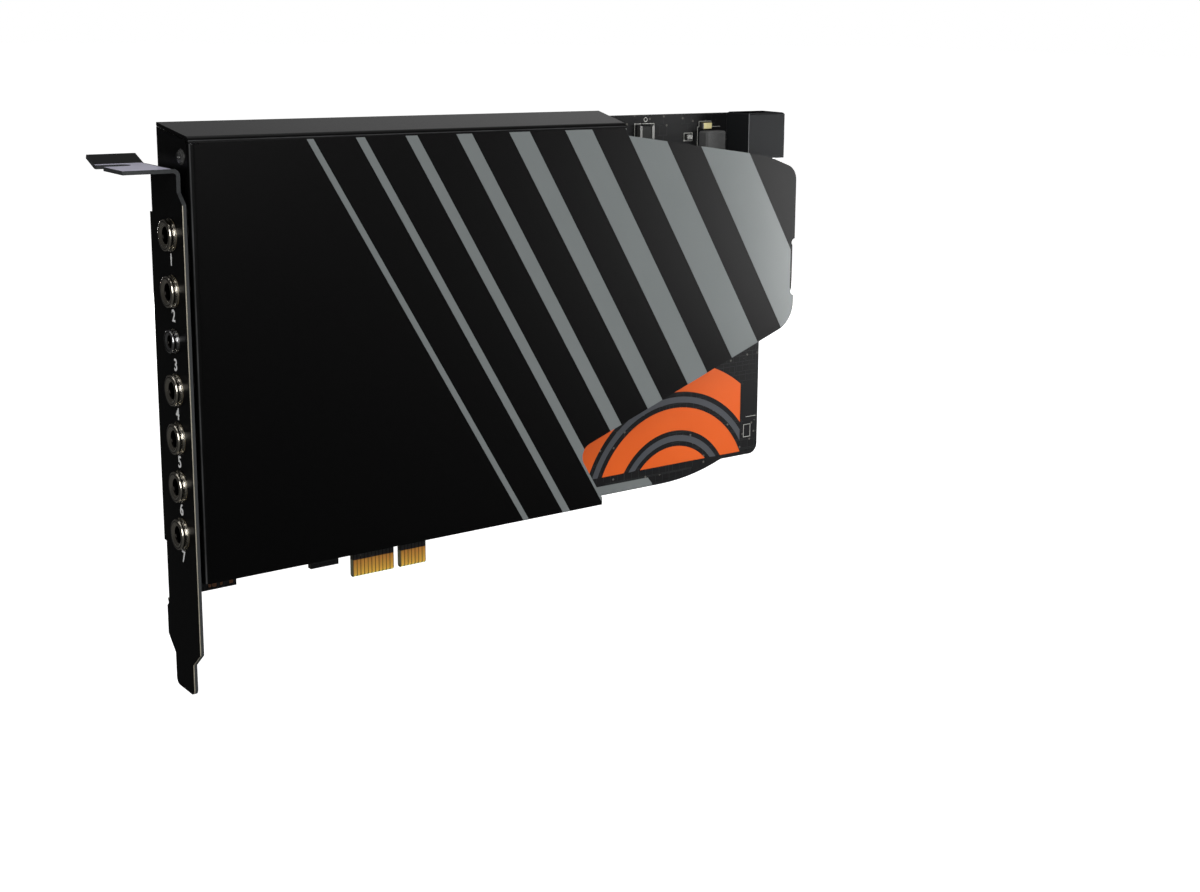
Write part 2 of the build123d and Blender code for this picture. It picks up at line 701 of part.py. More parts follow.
def power_header_housing():
    """Moulded shell with six keyed cells open at the top and a floor that holds the pins."""
    middle_y = front_y - header_depth / 2
    plan = Pos(header_x, middle_y) * Rectangle(header_width, header_depth)
    shell = along_z(plan, header_bottom, header_height)
    shell = chamfer(shell.faces().sort_by(Axis.Z)[-1].edges(), header_chamfer)
    hole_size = header_pin_size + 2 * header_pin_clearance
    for number, (x, y) in enumerate(header_cells):
        cell = Rectangle(cell_size, cell_size)
        if number % 2:
            cell = chamfer(cell.vertices().group_by(Axis.Y)[0], cell_key_cut)
        shell -= along_z(Pos(x, y) * cell, header_top - cell_depth, cell_depth)
        pin_hole = Pos(x, y) * Rectangle(hole_size, hole_size)
        shell -= along_z(pin_hole, header_bottom, header_height - cell_depth)
    return shell


def power_header_pins():
    """Square pins that stand in the cells and turn to the board below the housing."""
    pins = []
    foot_z = header_bottom - header_pin_exit
    for x, y in header_cells:
        rows_out = round((header_cells[-1][1] - y) / cell_pitch)
        pin_z = foot_z - rows_out * 2 * header_pin_exit
        path = [(y, header_top - header_pin_top_drop), (y, pin_z), (front_y, pin_z)]
        section = trace(FilletPolyline(*path, radius=header_pin_bend), header_pin_size)
        pins.append(along_x(section, x - header_pin_size / 2, header_pin_size))
    return Compound(children=pins)


def corner_block():
    """Threaded block inside the shroud's upper left corner."""
    left = shroud_left + shroud_sheet
    hole_z = board_height - flange_screw_drop
    height = shroud_depth - shroud_sheet - corner_block_clearance
    section = Rectangle(corner_block_size, corner_block_size, align=(Align.MIN, Align.CENTER))
    body = along_y(Pos(left, hole_z) * section, front_y - height, height)
    hole_y = front_y - flange_screw_depth
    hole_length = corner_block_size + 2 * cut_margin
    return body - rod_x(hole_y, hole_z, screw_radius + thread_clearance, left - cut_margin, hole_length)


def flange_screw():
    """Screw through the shroud's left end into the corner block."""
    origin = (shroud_left, front_y - flange_screw_depth, board_height - flange_screw_drop)
    length = shroud_sheet + corner_block_size
    outward = Plane(origin=origin, x_dir=(0, 1, 0), z_dir=(-1, 0, 0))
    return outward * screw(length, flange_screw_head_radius, flange_screw_head_height)


def standoffs():
    """Round threaded spacers between the board and the shroud's face."""
    height = shroud_depth - shroud_sheet
    upward = (Align.CENTER, Align.CENTER, Align.MIN)
    post = Cylinder(standoff_radius, height, align=upward)
    post -= Cylinder(screw_radius + thread_clearance, screw_length, align=upward)
    return Compound(children=[on_board(start, z, post) for start, z in standoff_places])


def standoff_screws():
    """Screws from the solder side into the standoffs."""
    fastener = screw(screw_length)
    places = [(-bracket_x - start, z) for start, z in standoff_places]
    return Compound(children=[solder_side * Pos(x, z, 0) * fastener for x, z in places])


def bracket_screws():
    """Screws from the component side through the board into the bracket's collars."""
    fastener = screw(bracket_screw_length)
    screws = [on_board(bracket_screw_start, height, fastener) for height in bracket_screw_heights]
    return Compound(children=screws)


def below_top(place, shape):
    """Seat a component by its start and its drop below the board's top edge."""
    return on_board(place[0], board_height - place[1], shape)


def row_of(shape, first, step, columns, rows=1):
    """Copies of a component in columns and rows, down from the upper left one."""
    copies = []
    for column in range(columns):
        for row in range(rows):
            copies.append(below_top((first[0] + column * step, first[1] + row * step), shape))
    return Compound(children=copies)


def from_corner(inset, shape):
    """Seat a component by its distance from the board's right end and top edge."""
    return component_side * Pos(board_right - inset[0], board_height - inset[1], 0) * shape


os.makedirs("parts", exist_ok=True)


def write(name, shape):
    """Write one piece of the card."""
    shape.label = name
    export_step(shape, f"parts/{name}.step")


write("circuit_board", circuit_board())
write("edge_contacts_front", edge_contacts(front_y - contact_thickness))
write("edge_contacts_rear", edge_contacts(rear_y))
write("slot_bracket", slot_bracket())
write("shroud", shroud())
for jack_number in range(1, jack_count + 1):
    write(f"jack_{jack_number}_bushing", jack_bushing(jack_number))
    write(f"jack_{jack_number}_housing", jack_housing(jack_number))
    write(f"jack_{jack_number}_springs", jack_springs(jack_number))
write("optical_emitter", optical_emitter())

write("power_header_housing", power_header_housing())
write("power_header_pins", power_header_pins())
coil = beveled_block(coil_size, coil_size, coil_height, coil_edge)
write("moulded_coil", from_corner(coil_inset, coil))
write("input_fuse", from_corner(fuse_inset, fuse_with_caps()))
cream_part = beveled_block(cream_length, cream_width, cream_height, small_part_edge)
write("cream_capacitor", from_corner(cream_inset, cream_part))
lamp = beveled_block(lamp_length, lamp_width, lamp_height, small_part_edge)
write("status_lamp", from_corner(lamp_inset, lamp))

processor = gull_wing_package(processor_size, processor_size, processor_height, processor_leads, True)
write("audio_processor", on_board(*processor_place, processor))
bridge = gull_wing_package(bridge_size, bridge_size, bridge_height, bridge_leads, True)
write("bus_bridge", on_board(*bridge_place, bridge))
converter = gull_wing_package(converter_length, converter_width, converter_height, converter_leads)
write("output_converter", below_top(output_converter_place, converter))
write("input_converter", on_board(*input_converter_place, converter))
amplifier = gull_wing_package(amplifier_size, amplifier_size, amplifier_height, amplifier_leads)
write("headphone_amplifier", below_top(headphone_amplifier_place, amplifier))
small_amplifier = gull_wing_package(
    small_amplifier_length, small_amplifier_width, small_amplifier_height, small_amplifier_leads)
small_amplifiers = []
for jack_number, height in enumerate(jack_heights, 1):
    if jack_number not in (small_jack_number, optical_jack_number):
        small_amplifiers.append(on_board(small_amplifier_start, height, small_amplifier))
write("small_amplifiers", Compound(children=small_amplifiers))
write("electrolytic_capacitors", row_of(electrolytic_can(), can_first, can_step, can_columns, can_rows))
film_capacitor = beveled_block(film_length, film_width, film_height, film_edge)
write("film_capacitors", row_of(film_capacitor, film_first, film_step, 1, film_count))
crystal = beveled_block(crystal_length, crystal_width, crystal_height, package_chamfer)
write("crystals", Compound(children=[on_board(*place, crystal) for place in crystal_places]))
regulator_first = (board_start + board_length - regulator_inset[0], regulator_inset[1])
write("voltage_regulators", row_of(regulator_package(), regulator_first, regulator_step, regulator_count))
relay = beveled_block(relay_length, relay_width, relay_height, package_chamfer)
write("relays", row_of(relay, relay_first, relay_step, relay_count))
resistor = block(resistor_length, resistor_width, resistor_height)
write("chip_resistors", row_of(resistor, resistor_first, resistor_step, resistor_columns, resistor_rows))

write("corner_block", corner_block())
write("flange_screw", flange_screw())
write("standoffs", standoffs())
write("standoff_screws", standoff_screws())
write("bracket_screws", bracket_screws())
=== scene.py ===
import json
import math

import bpy
from mathutils import Matrix, Vector


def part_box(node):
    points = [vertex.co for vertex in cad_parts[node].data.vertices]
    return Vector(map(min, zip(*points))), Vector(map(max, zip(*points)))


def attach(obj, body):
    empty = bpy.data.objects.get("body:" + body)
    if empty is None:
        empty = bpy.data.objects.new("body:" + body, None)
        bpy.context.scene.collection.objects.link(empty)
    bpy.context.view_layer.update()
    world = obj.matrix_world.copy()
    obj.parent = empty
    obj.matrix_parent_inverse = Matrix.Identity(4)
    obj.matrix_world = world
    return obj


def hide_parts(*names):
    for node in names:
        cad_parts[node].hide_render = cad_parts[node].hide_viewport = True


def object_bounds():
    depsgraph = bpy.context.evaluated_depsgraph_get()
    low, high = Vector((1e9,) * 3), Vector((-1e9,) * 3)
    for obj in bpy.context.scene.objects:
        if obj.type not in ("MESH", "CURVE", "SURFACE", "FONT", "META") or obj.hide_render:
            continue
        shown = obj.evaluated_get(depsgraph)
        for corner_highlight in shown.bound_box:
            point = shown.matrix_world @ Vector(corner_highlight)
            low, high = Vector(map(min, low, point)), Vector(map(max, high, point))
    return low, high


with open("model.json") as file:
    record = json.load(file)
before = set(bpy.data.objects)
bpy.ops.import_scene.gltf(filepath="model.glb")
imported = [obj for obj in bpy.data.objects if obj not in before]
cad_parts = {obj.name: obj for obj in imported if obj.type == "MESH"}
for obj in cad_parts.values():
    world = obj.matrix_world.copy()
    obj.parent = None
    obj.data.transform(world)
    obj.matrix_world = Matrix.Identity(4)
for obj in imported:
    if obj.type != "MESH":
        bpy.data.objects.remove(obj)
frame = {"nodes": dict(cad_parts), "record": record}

nodes = frame["nodes"]
cad_low, cad_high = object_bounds()

# Circuit board: a sheet of glass laminate under satin black solder mask, milled to its outline and drilled.
# Copper tracks and filled vias show faintly through the mask. The milled edges are bare laminate, and so is
# the contact tongue below the tops of its contacts. The tongue's foot is ground to a bevel.
mm = 0.001
board_low, board_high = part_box("circuit_board")
contacts_low, contacts_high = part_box("edge_contacts_front")
contact_pitch = 1.0 * mm
mask_lap = 1.3 * mm
mask_line = contacts_high.z - mask_lap
mask_black = (0.0068, 0.007, 0.0074, 1)
track_black = (0.012, 0.0125, 0.013, 1)
via_grey = (0.07, 0.067, 0.06, 1)
edge_brown = (0.03, 0.028, 0.022, 1)
tongue_brown = (0.19, 0.1, 0.028, 1)
tongue_edge = (0.15, 0.15, 0.1, 1)
bevel_yellow = (0.85, 0.72, 0.13, 1)
bevel_dot = (0.035, 0.045, 0.012, 1)
bevel_dot_half = 0.2
edge_lean = 0.5
track_threshold = 0.5
via_threshold = 0.52
via_radius = 0.075
track_relief = 0.03 * mm
mask_roughness = (0.34, 0.48)
mask_shine = 0.07


def start_material(name):
    """A new node material and its Principled shader."""
    material = bpy.data.materials.new(name)
    material.use_nodes = True
    tree = material.node_tree
    return material, tree, tree.nodes["Principled BSDF"]


def feed(tree, node, inputs):
    """Give a node's inputs plain values or other nodes' outputs."""
    for name, value in inputs.items():
        if isinstance(value, bpy.types.NodeSocket):
            tree.links.new(value, node.inputs[name])
        else:
            node.inputs[name].default_value = value


def put(tree, kind, inputs, **settings):
    """Add a shader node."""
    node = tree.nodes.new("ShaderNode" + kind)
    for name, value in settings.items():
        setattr(node, name, value)
    feed(tree, node, inputs)
    return node


def maths(tree, operation, first, second=0.0):
    """One step of arithmetic on two values or outputs."""
    return put(tree, "Math", {0: first, 1: second}, operation=operation).outputs[0]


def both(tree, *masks):
    """One where every mask is one."""
    result = masks[0]
    for mask in masks[1:]:
        result = maths(tree, "MULTIPLY", result, mask)
    return result


def blend(tree, share, first, second):
    """Mix two colours by a share."""
    mixer = put(tree, "Mix", {0: share, 6: first, 7: second}, data_type="RGBA")
    return mixer.outputs[2]


def object_place(tree):
    """Place on the piece, in metres."""
    return put(tree, "TexCoord", {}).outputs["Object"]


def parts_of(tree, vector):
    """The X, Y and Z of a vector."""
    return put(tree, "SeparateXYZ", {0: vector}).outputs


def facing(tree):
    """The X, Y and Z of the surface's direction."""
    return parts_of(tree, put(tree, "NewGeometry", {}).outputs["Normal"])


def grain(tree, place, scale, detail=3.0):
    """Fine uneven noise."""
    return put(tree, "TexNoise", {"Vector": place, "Scale": scale, "Detail": detail}).outputs[0]


def spread(tree, value, low, high, start=0.0, end=1.0):
    """Stretch a value that runs from start to end between two limits."""
    limits = {"Value": value, "From Min": start, "From Max": end, "To Min": low, "To Max": high}
    return put(tree, "MapRange", limits).outputs[0]


def relief(tree, height, depth, strength):
    """A surface bumped by a height between 0 and 1, depth metres deep."""
    return put(tree, "Bump", {"Height": height, "Distance": depth, "Strength": strength}).outputs[0]


def dress(material, *names):
    """Give CAD nodes a material."""
    for name in names:
        nodes[name].data.materials.clear()
        nodes[name].data.materials.append(material)


def copper_under_mask(tree, x, z):
    """Masks for the tracks and for the filled vias, each in patches over the board."""
    flat = put(tree, "CombineXYZ", {0: x, 1: z}).outputs[0]
    long_tracks = put(tree, "TexBrick", {
        "Vector": flat, "Scale": 90.0, "Mortar Size": 0.012, "Mortar Smooth": 0.2, "Brick Width": 1.4})
    short_tracks = put(tree, "TexBrick", {
        "Vector": flat, "Scale": 210.0, "Mortar Size": 0.02, "Mortar Smooth": 0.2, "Row Height": 0.6})
    tracks = maths(tree, "MAXIMUM", long_tracks.outputs["Fac"], short_tracks.outputs["Fac"])
    patches = maths(tree, "GREATER_THAN", grain(tree, flat, 60.0, 1.0), track_threshold)
    cells = put(tree, "TexVoronoi", {"Vector": flat, "Scale": 240.0}, voronoi_dimensions="2D")
    vias = maths(tree, "LESS_THAN", cells.outputs["Distance"], via_radius)
    via_patches = maths(tree, "GREATER_THAN", grain(tree, flat, 85.0, 1.0), via_threshold)
    return both(tree, tracks, patches), both(tree, vias, via_patches)


def bare_tongue(tree, colour, edge, x, z):
    """Bare laminate on the contact tongue, with a dotted bevel along its foot."""
    tongue = maths(tree, "LESS_THAN", z, mask_line)
    tongue = both(tree, tongue, maths(tree, "GREATER_THAN", x, contacts_low.x - contact_pitch))
    tongue = both(tree, tongue, maths(tree, "LESS_THAN", x, contacts_high.x + contact_pitch))
    colour = blend(tree, tongue, colour, tongue_brown)
    colour = blend(tree, both(tree, tongue, edge), colour, tongue_edge)
    bevel = both(tree, tongue, maths(tree, "LESS_THAN", z, contacts_low.z))
    off_pitch = maths(tree, "DIVIDE", x, contact_pitch)
    off_pitch = maths(tree, "SUBTRACT", off_pitch, maths(tree, "ROUND", off_pitch))
    dots = maths(tree, "LESS_THAN", maths(tree, "ABSOLUTE", off_pitch), bevel_dot_half)
    colour = blend(tree, bevel, colour, bevel_yellow)
    return blend(tree, both(tree, bevel, dots), colour, bevel_dot)


def solder_mask():
    """Satin black mask over tracks and vias, with bare laminate at the edges and on the tongue."""
    material, tree, shader = start_material("black_solder_mask")
    place = object_place(tree)
    x, _, z = parts_of(tree, place)
    tracks, vias = copper_under_mask(tree, x, z)
    edge = maths(tree, "LESS_THAN", maths(tree, "ABSOLUTE", facing(tree)[1]), edge_lean)
    colour = blend(tree, tracks, mask_black, track_black)
    colour = blend(tree, vias, colour, via_grey)
    colour = blend(tree, edge, colour, edge_brown)
    feed(tree, shader, {
        "Base Color": bare_tongue(tree, colour, edge, x, z),
        "Roughness": spread(tree, grain(tree, place, 900.0), *mask_roughness),
        "Specular IOR Level": mask_shine,
        "Normal": relief(tree, maths(tree, "ADD", tracks, vias), track_relief, strength=0.6)})
    return material


dress(solder_mask(), "circuit_board")

# Edge contacts: copper strips on both faces of the tongue, plated with nickel and hard gold.
# The solder mask laps over their tops. The gold is a little streaked along each strip, and yellower towards
# its foot, where slots have wiped it.
gold = (1.0, 0.62, 0.09, 1)
gold_streak = (0.7, 0.29, 0.055, 1)
gold_metal_share = 0.45
streaks_at_foot = -0.35
streaks_at_top = 0.55
streak_relief = 0.01 * mm
gold_roughness = (0.28, 0.42)


def hard_gold():
    """Streaked gold plating, under solder mask at the tops of the contacts."""
    material, tree, shader = start_material("hard_gold")
    place = object_place(tree)
    height = parts_of(tree, place)[2]
    stretched = put(tree, "Mapping", {"Vector": place, "Scale": (9.0, 1.0, 0.25)}).outputs[0]
    rise = spread(tree, height, streaks_at_foot, streaks_at_top, contacts_low.z, mask_line)
    streaks = maths(tree, "ADD", grain(tree, stretched, 420.0, 2.0), rise)
    streaks = maths(tree, "MINIMUM", maths(tree, "MAXIMUM", streaks, 0.0), 1.0)
    bare = maths(tree, "LESS_THAN", height, mask_line)
    feed(tree, shader, {
        "Base Color": blend(tree, bare, mask_black, blend(tree, streaks, gold, gold_streak)),
        "Metallic": both(tree, bare, gold_metal_share),
        "Roughness": spread(tree, grain(tree, place, 2500.0), *gold_roughness),
        "Normal": relief(tree, streaks, streak_relief, strength=0.5)})
    return material


dress(hard_gold(), "edge_contacts_front", "edge_contacts_rear")

# Slot bracket: one piece of zinc-coated sheet steel, painted satin black, then punched and folded.
# Its punched edges are bare dull grey steel, with a bright warm painted highlight line beside the outer
# face.
# The tab's top is coloured pale lavender grey as a painted sheen. Plain white numbers are printed by the
# sockets.
jack_mounts = {}
for mount in frame["record"]["mounts"]:
    if mount["name"].startswith("jack_"):
        jack_mounts[int(mount["name"].split("_")[1])] = Vector(mount["pos_m"])
bracket_sheet = 0.9 * mm
edge_highlight_depth = 0.2 * mm
edge_highlight_top = 95.8 * mm
jack_mount_depth = 1.6 * mm
bracket_face = jack_mounts[1].x - jack_mount_depth
tab_level = 102.5 * mm
bracket_black = (0.0016, 0.0016, 0.0017, 1)
bracket_dust = (0.0045, 0.0045, 0.0046, 1)
# Pale lavender grey on the tab's top: a painted sheen, not a finish of the steel.
tab_sheen_colour = (0.6, 0.58, 0.72, 1)
tab_sheen_dim = (0.42, 0.41, 0.5, 1)
# Warm bright colour on the lower punched edges beside the outer face: a painted highlight.
edge_highlight_colour = (0.46, 0.42, 0.33, 1)
edge_highlight_metal_share = 0.3
dull_steel = (0.036, 0.038, 0.039, 1)
side_lean = 0.6
upward_lean = 0.97
paint_relief = 0.015 * mm
paint_roughness = (0.3, 0.44)
paint_shine = 0.05
number_height = 3.8 * mm
number_drop = 5.5 * mm
number_weight = 0.06 * mm
ink_thickness = 0.03 * mm
ink_white = (0.82, 0.82, 0.81, 1)
ink_white_worn = (0.66, 0.66, 0.66, 1)
ink_roughness = (0.5, 0.65)


def punched_edges(tree, x, z, on_tab):
    """One on the bracket's punched edges: the sides and holes of its plate, and the ends of its tab."""
    lean_x, lean_y, lean_z = [maths(tree, "ABSOLUTE", part) for part in facing(tree)[:3]]
    in_plate = maths(tree, "LESS_THAN", x, bracket_face + 1.1 * bracket_sheet)
    below_tab = maths(tree, "LESS_THAN", z, tab_level - 2 * bracket_sheet)
    sides = both(tree, in_plate, maths(tree, "GREATER_THAN", lean_y, side_lean))
    holes = both(tree, in_plate, below_tab, maths(tree, "LESS_THAN", lean_x, edge_lean))
    ends = both(tree, on_tab, maths(tree, "LESS_THAN", lean_z, edge_lean))
    return maths(tree, "MAXIMUM", maths(tree, "MAXIMUM", sides, holes), ends)


def bare_edged_paint():
    """Dusty black paint, with bare steel at the punched edges, a painted highlight line on them and a
    painted sheen on the tab.
    """
    material, tree, shader = start_material("black_paint_bare_edges")
    place = object_place(tree)
    x, _, z = parts_of(tree, place)
    on_tab = maths(tree, "LESS_THAN", x, bracket_face - bracket_sheet)
    bare = punched_edges(tree, x, z, on_tab)
    # Painted highlight: a warm bright line on the punched edges below the tab, beside the outer face.
    edge_highlight = maths(tree, "LESS_THAN", z, edge_highlight_top)
    edge_highlight = both(tree, edge_highlight, maths(tree, "LESS_THAN", x, bracket_face + edge_highlight_depth))
    steel = blend(tree, edge_highlight, dull_steel, edge_highlight_colour)
    steel = blend(tree, spread(tree, grain(tree, place, 1500.0), 0.0, 0.5), steel, dull_steel)
    dust = grain(tree, place, 260.0, 5.0)
    paint = blend(tree, dust, bracket_black, bracket_dust)
    # Painted sheen: the tab's upward faces get a pale lavender grey in place of the black paint.
    tab_top = both(tree, maths(tree, "GREATER_THAN", facing(tree)[2], upward_lean), on_tab)
    tab_sheen = blend(tree, grain(tree, place, 320.0), tab_sheen_colour, tab_sheen_dim)
    paint = blend(tree, tab_top, paint, tab_sheen)
    feed(tree, shader, {
        "Base Color": blend(tree, bare, paint, steel),
        "Metallic": both(tree, bare, edge_highlight, edge_highlight_metal_share),
        "Roughness": spread(tree, dust, *paint_roughness),
        "Specular IOR Level": paint_shine,
        "Normal": relief(tree, grain(tree, place, 2600.0, 2.0), paint_relief, strength=0.4)})
    return material


def white_ink(name, first, second):
    """Pale printed ink, worn a little unevenly."""
    material, tree, shader = start_material(name)
    wear = grain(tree, object_place(tree), 1600.0, 4.0)
    feed(tree, shader, {
        "Base Color": blend(tree, wear, first, second), "Roughness": spread(tree, wear, *ink_roughness)})
    return material


def finish_piece(piece, material):
    """Give a finished piece its material and fix it to the card."""
    piece.data.materials.clear()
    piece.data.materials.append(material)
    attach(piece, "root")


dress(bare_edged_paint(), "slot_bracket")
print_white = white_ink("white_ink", ink_white, ink_white_worn)
for number, mount_place in jack_mounts.items():
    bpy.ops.object.select_all(action="DESELECT")
    bpy.ops.object.text_add(
        location=(bracket_face, mount_place.y, mount_place.z - number_drop),
        rotation=(math.pi / 2, 0, -math.pi / 2))
    label = bpy.context.object
    label.name = f"socket_number_{number}"
    label.data.body = str(number)
    label.data.size = number_height
    label.data.align_x = "CENTER"
    label.data.align_y = "CENTER"
    label.data.offset = number_weight
    label.data.extrude = ink_thickness
    bpy.ops.object.convert(target="MESH")
    bpy.ops.object.transform_apply(location=True, rotation=True, scale=True)
    finish_piece(label, print_white)

# Sockets: turned brass noses, nickel plated, in moulded black housings with sprung bronze contacts.
# Each nose is its CAD form with rounded rims, a dark band round its axis, partly the turned groove and
# partly a painted dark reflection on the flat front face, and a dark bore.
# The third is smaller and black-plated. The seventh holds a dark red emitter.
nose_radius = 3.5 * mm
small_nose_radius = 2.6 * mm
bore_radius = 1.8 * mm
small_bore_radius = 1.3 * mm
bore_margin = 0.15 * mm
small_nose = 3
nose_edge = 0.14 * mm
# Dark band on the noses: partly the turned groove, partly a painted dark reflection on the flat front face.
dark_band_from_rim = (0.38 * mm, 0.62 * mm)
groove_and_dark_reflection = (0.02, 0.019, 0.017, 1)
bore_dark = (0.012, 0.011, 0.01, 1)
nickel = (0.8, 0.77, 0.7, 1)
nickel_warm = (0.66, 0.6, 0.48, 1)
dark_plate = (0.4, 0.4, 0.41, 1)
dark_plate_worn = (0.56, 0.56, 0.56, 1)
bronze = (0.6, 0.47, 0.28, 1)
bronze_dull = (0.45, 0.33, 0.18, 1)
socket_black = (0.008, 0.008, 0.008, 1)
socket_grey = (0.014, 0.014, 0.014, 1)
emitter_red = (0.03, 0.008, 0.008, 1)
emitter_glow = (0.05, 0.012, 0.01, 1)
socket_relief = 0.03 * mm
emitter_relief = 0.005 * mm
turning_relief = 0.008 * mm
turning_roughness = (0.16, 0.28)
plastic_unevenness = 0.06


def turned_plating(name, first, second, metallic=1.0, axis=None, rim=0.0, bore=0.0):
    """Turned metal with fine marks; round an axis, if one is given, a dark band that is partly painted
    reflection, and a dark bore.
    """
    material, tree, shader = start_material(name)
    place = object_place(tree)
    stretched = put(tree, "Mapping", {"Vector": place, "Scale": (14.0, 1.0, 1.0)}).outputs[0]
    rings = grain(tree, stretched, 700.0, 2.0)
    colour = blend(tree, rings, first, second)
    if axis:
        offset = put(tree, "VectorMath", {0: place, 1: axis}, operation="SUBTRACT").outputs[0]
        offset = put(tree, "VectorMath", {0: offset, 1: (0, 1, 1)}, operation="MULTIPLY").outputs[0]
        radius = put(tree, "VectorMath", {0: offset}, operation="LENGTH").outputs["Value"]
        # Dark band round the axis: the turned groove, and a painted dark reflection on the flat front face.
        dark_band = maths(tree, "LESS_THAN", radius, rim - dark_band_from_rim[0])
        dark_band = both(tree, dark_band, maths(tree, "GREATER_THAN", radius, rim - dark_band_from_rim[1]))
        colour = blend(tree, dark_band, colour, groove_and_dark_reflection)
        # Dark colour inside the bore, just past the mouth.
        inside = maths(tree, "LESS_THAN", radius, bore + bore_margin)
        colour = blend(tree, inside, colour, bore_dark)
    feed(tree, shader, {
        "Base Color": colour,
        "Metallic": metallic,
        "Roughness": spread(tree, rings, *turning_roughness),
        "Normal": relief(tree, rings, turning_relief, strength=0.25)})
    return material


def merged_copy(name, node):
    """A copy of a CAD node with its loose triangles joined into whole flat faces."""
    piece = bpy.data.objects.new(name, nodes[node].data.copy())
    bpy.context.collection.objects.link(piece)
    bpy.ops.object.select_all(action="DESELECT")
    piece.select_set(True)
    bpy.context.view_layer.objects.active = piece
    bpy.ops.object.mode_set(mode="EDIT")
    bpy.ops.mesh.select_mode(type="FACE")
    bpy.ops.mesh.select_all(action="SELECT")
    bpy.ops.mesh.customdata_custom_splitnormals_clear()
    bpy.ops.mesh.remove_doubles(threshold=1e-6)
    bpy.ops.mesh.dissolve_limited(angle_limit=0.001)
    bpy.ops.object.mode_set(mode="OBJECT")
    return piece


def soften(piece, width):
    """Round over the sharp edges of the active piece."""
    round_over = piece.modifiers.new("round_over", "BEVEL")
    round_over.width = width
    round_over.segments = 2
    round_over.limit_method = "ANGLE"
    round_over.angle_limit = math.radians(40)
    bpy.ops.object.modifier_apply(modifier=round_over.name)
    bpy.ops.object.shade_smooth_by_angle(angle=math.radians(35))


def moulded_plastic(name, first, second, roughness, depth, corner_highlight=None, shine=0.08):
    """Textured plastic, with a painted highlight line along upright corners if a colour is given."""
    material, tree, shader = start_material(name)
    place = object_place(tree)
    texture = grain(tree, place, 2800.0, 3.0)
    colour = blend(tree, grain(tree, place, 180.0), first, second)
    if corner_highlight:
        lean_x, lean_y = facing(tree)[:2]
        # Painted highlight: lighter where the surface faces between X and Y.
        corner_highlight_mask = maths(tree, "ABSOLUTE", maths(tree, "MULTIPLY", lean_x, lean_y))
        corner_highlight_mask = maths(tree, "POWER", maths(tree, "MULTIPLY", corner_highlight_mask, 2.0), 1.5)
        colour = blend(tree, corner_highlight_mask, colour, corner_highlight)
    feed(tree, shader, {
        "Base Color": colour,
        "Roughness": spread(tree, texture, roughness - plastic_unevenness, roughness + plastic_unevenness),
        "Specular IOR Level": shine,
        "Normal": relief(tree, texture, depth, strength=0.6)})
    return material


for number, mount_place in jack_mounts.items():
    if number == small_nose:
        plating = turned_plating(
            "black_plating", dark_plate, dark_plate_worn,
            axis=mount_place, rim=small_nose_radius, bore=small_bore_radius)
    else:
        plating = turned_plating(
            f"nickel_plating_{number}", nickel, nickel_warm,
            axis=mount_place, rim=nose_radius, bore=bore_radius)
    nose = merged_copy(f"socket_nose_{number}", f"jack_{number}_bushing")
    soften(nose, nose_edge)
    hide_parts(f"jack_{number}_bushing")
    finish_piece(nose, plating)
socket_plastic = moulded_plastic(
    "socket_plastic", socket_black, socket_grey, roughness=0.5, depth=socket_relief)
dress(socket_plastic, *[f"jack_{number}_housing" for number in jack_mounts])
spring_bronze = turned_plating("spring_bronze", bronze, bronze_dull)
dress(spring_bronze, *[f"jack_{number}_springs" for number in jack_mounts])
emitter_resin = moulded_plastic(
    "dark_emitter_resin", emitter_red, emitter_glow, roughness=0.2, depth=emitter_relief)
dress(emitter_resin, "optical_emitter")

# Shroud: one sheet of steel, cut and folded over the components, under fine-textured black paint, with thin
# lighter lines painted along the folds as painted highlights. Plain grey stripes, each wider than the last,
# are screen-printed on its face, parallel to the short slanting cut at the lower edge.
shroud_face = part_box("shroud")[0].y
shroud_black = (0.0005, 0.0005, 0.0005, 1)
shroud_fleck = (0.0014, 0.0014, 0.0015, 1)
# Lighter grey along the folds: painted highlight lines.
fold_highlight_colour = (0.06, 0.061, 0.062, 1)
cut_edge = (0.3, 0.3, 0.29, 1)
shroud_sheet = 0.8 * mm
flange_right = 60.0 * mm
upright_fold_sharpness = 40.0
top_fold_lean = 0.36
top_fold_spread = 0.1
top_fold_highlight_share = 0.6
fold_highlight_patches = (-0.3, 2.0)
cut_edge_lean = 0.3
texture_relief = 0.025 * mm
shroud_roughness = (0.31, 0.41)
shroud_shine = 0.085
ink_unevenness = 0.04
tolerance = 0.01 * mm
ink_grey = (0.118, 0.129, 0.129, 1)
ink_grey_pale = (0.128, 0.138, 0.138, 1)
cut_foot = Vector((52.4, 0, 12.9)) * mm
cut_head = Vector((44.5, 0, 26.6)) * mm
stripe_count = 8
stripe_gap = 9.0 * mm
stripe_growth = 1.38
first_stripe_width = 1.4 * mm
first_stripe_lead = 22.0 * mm


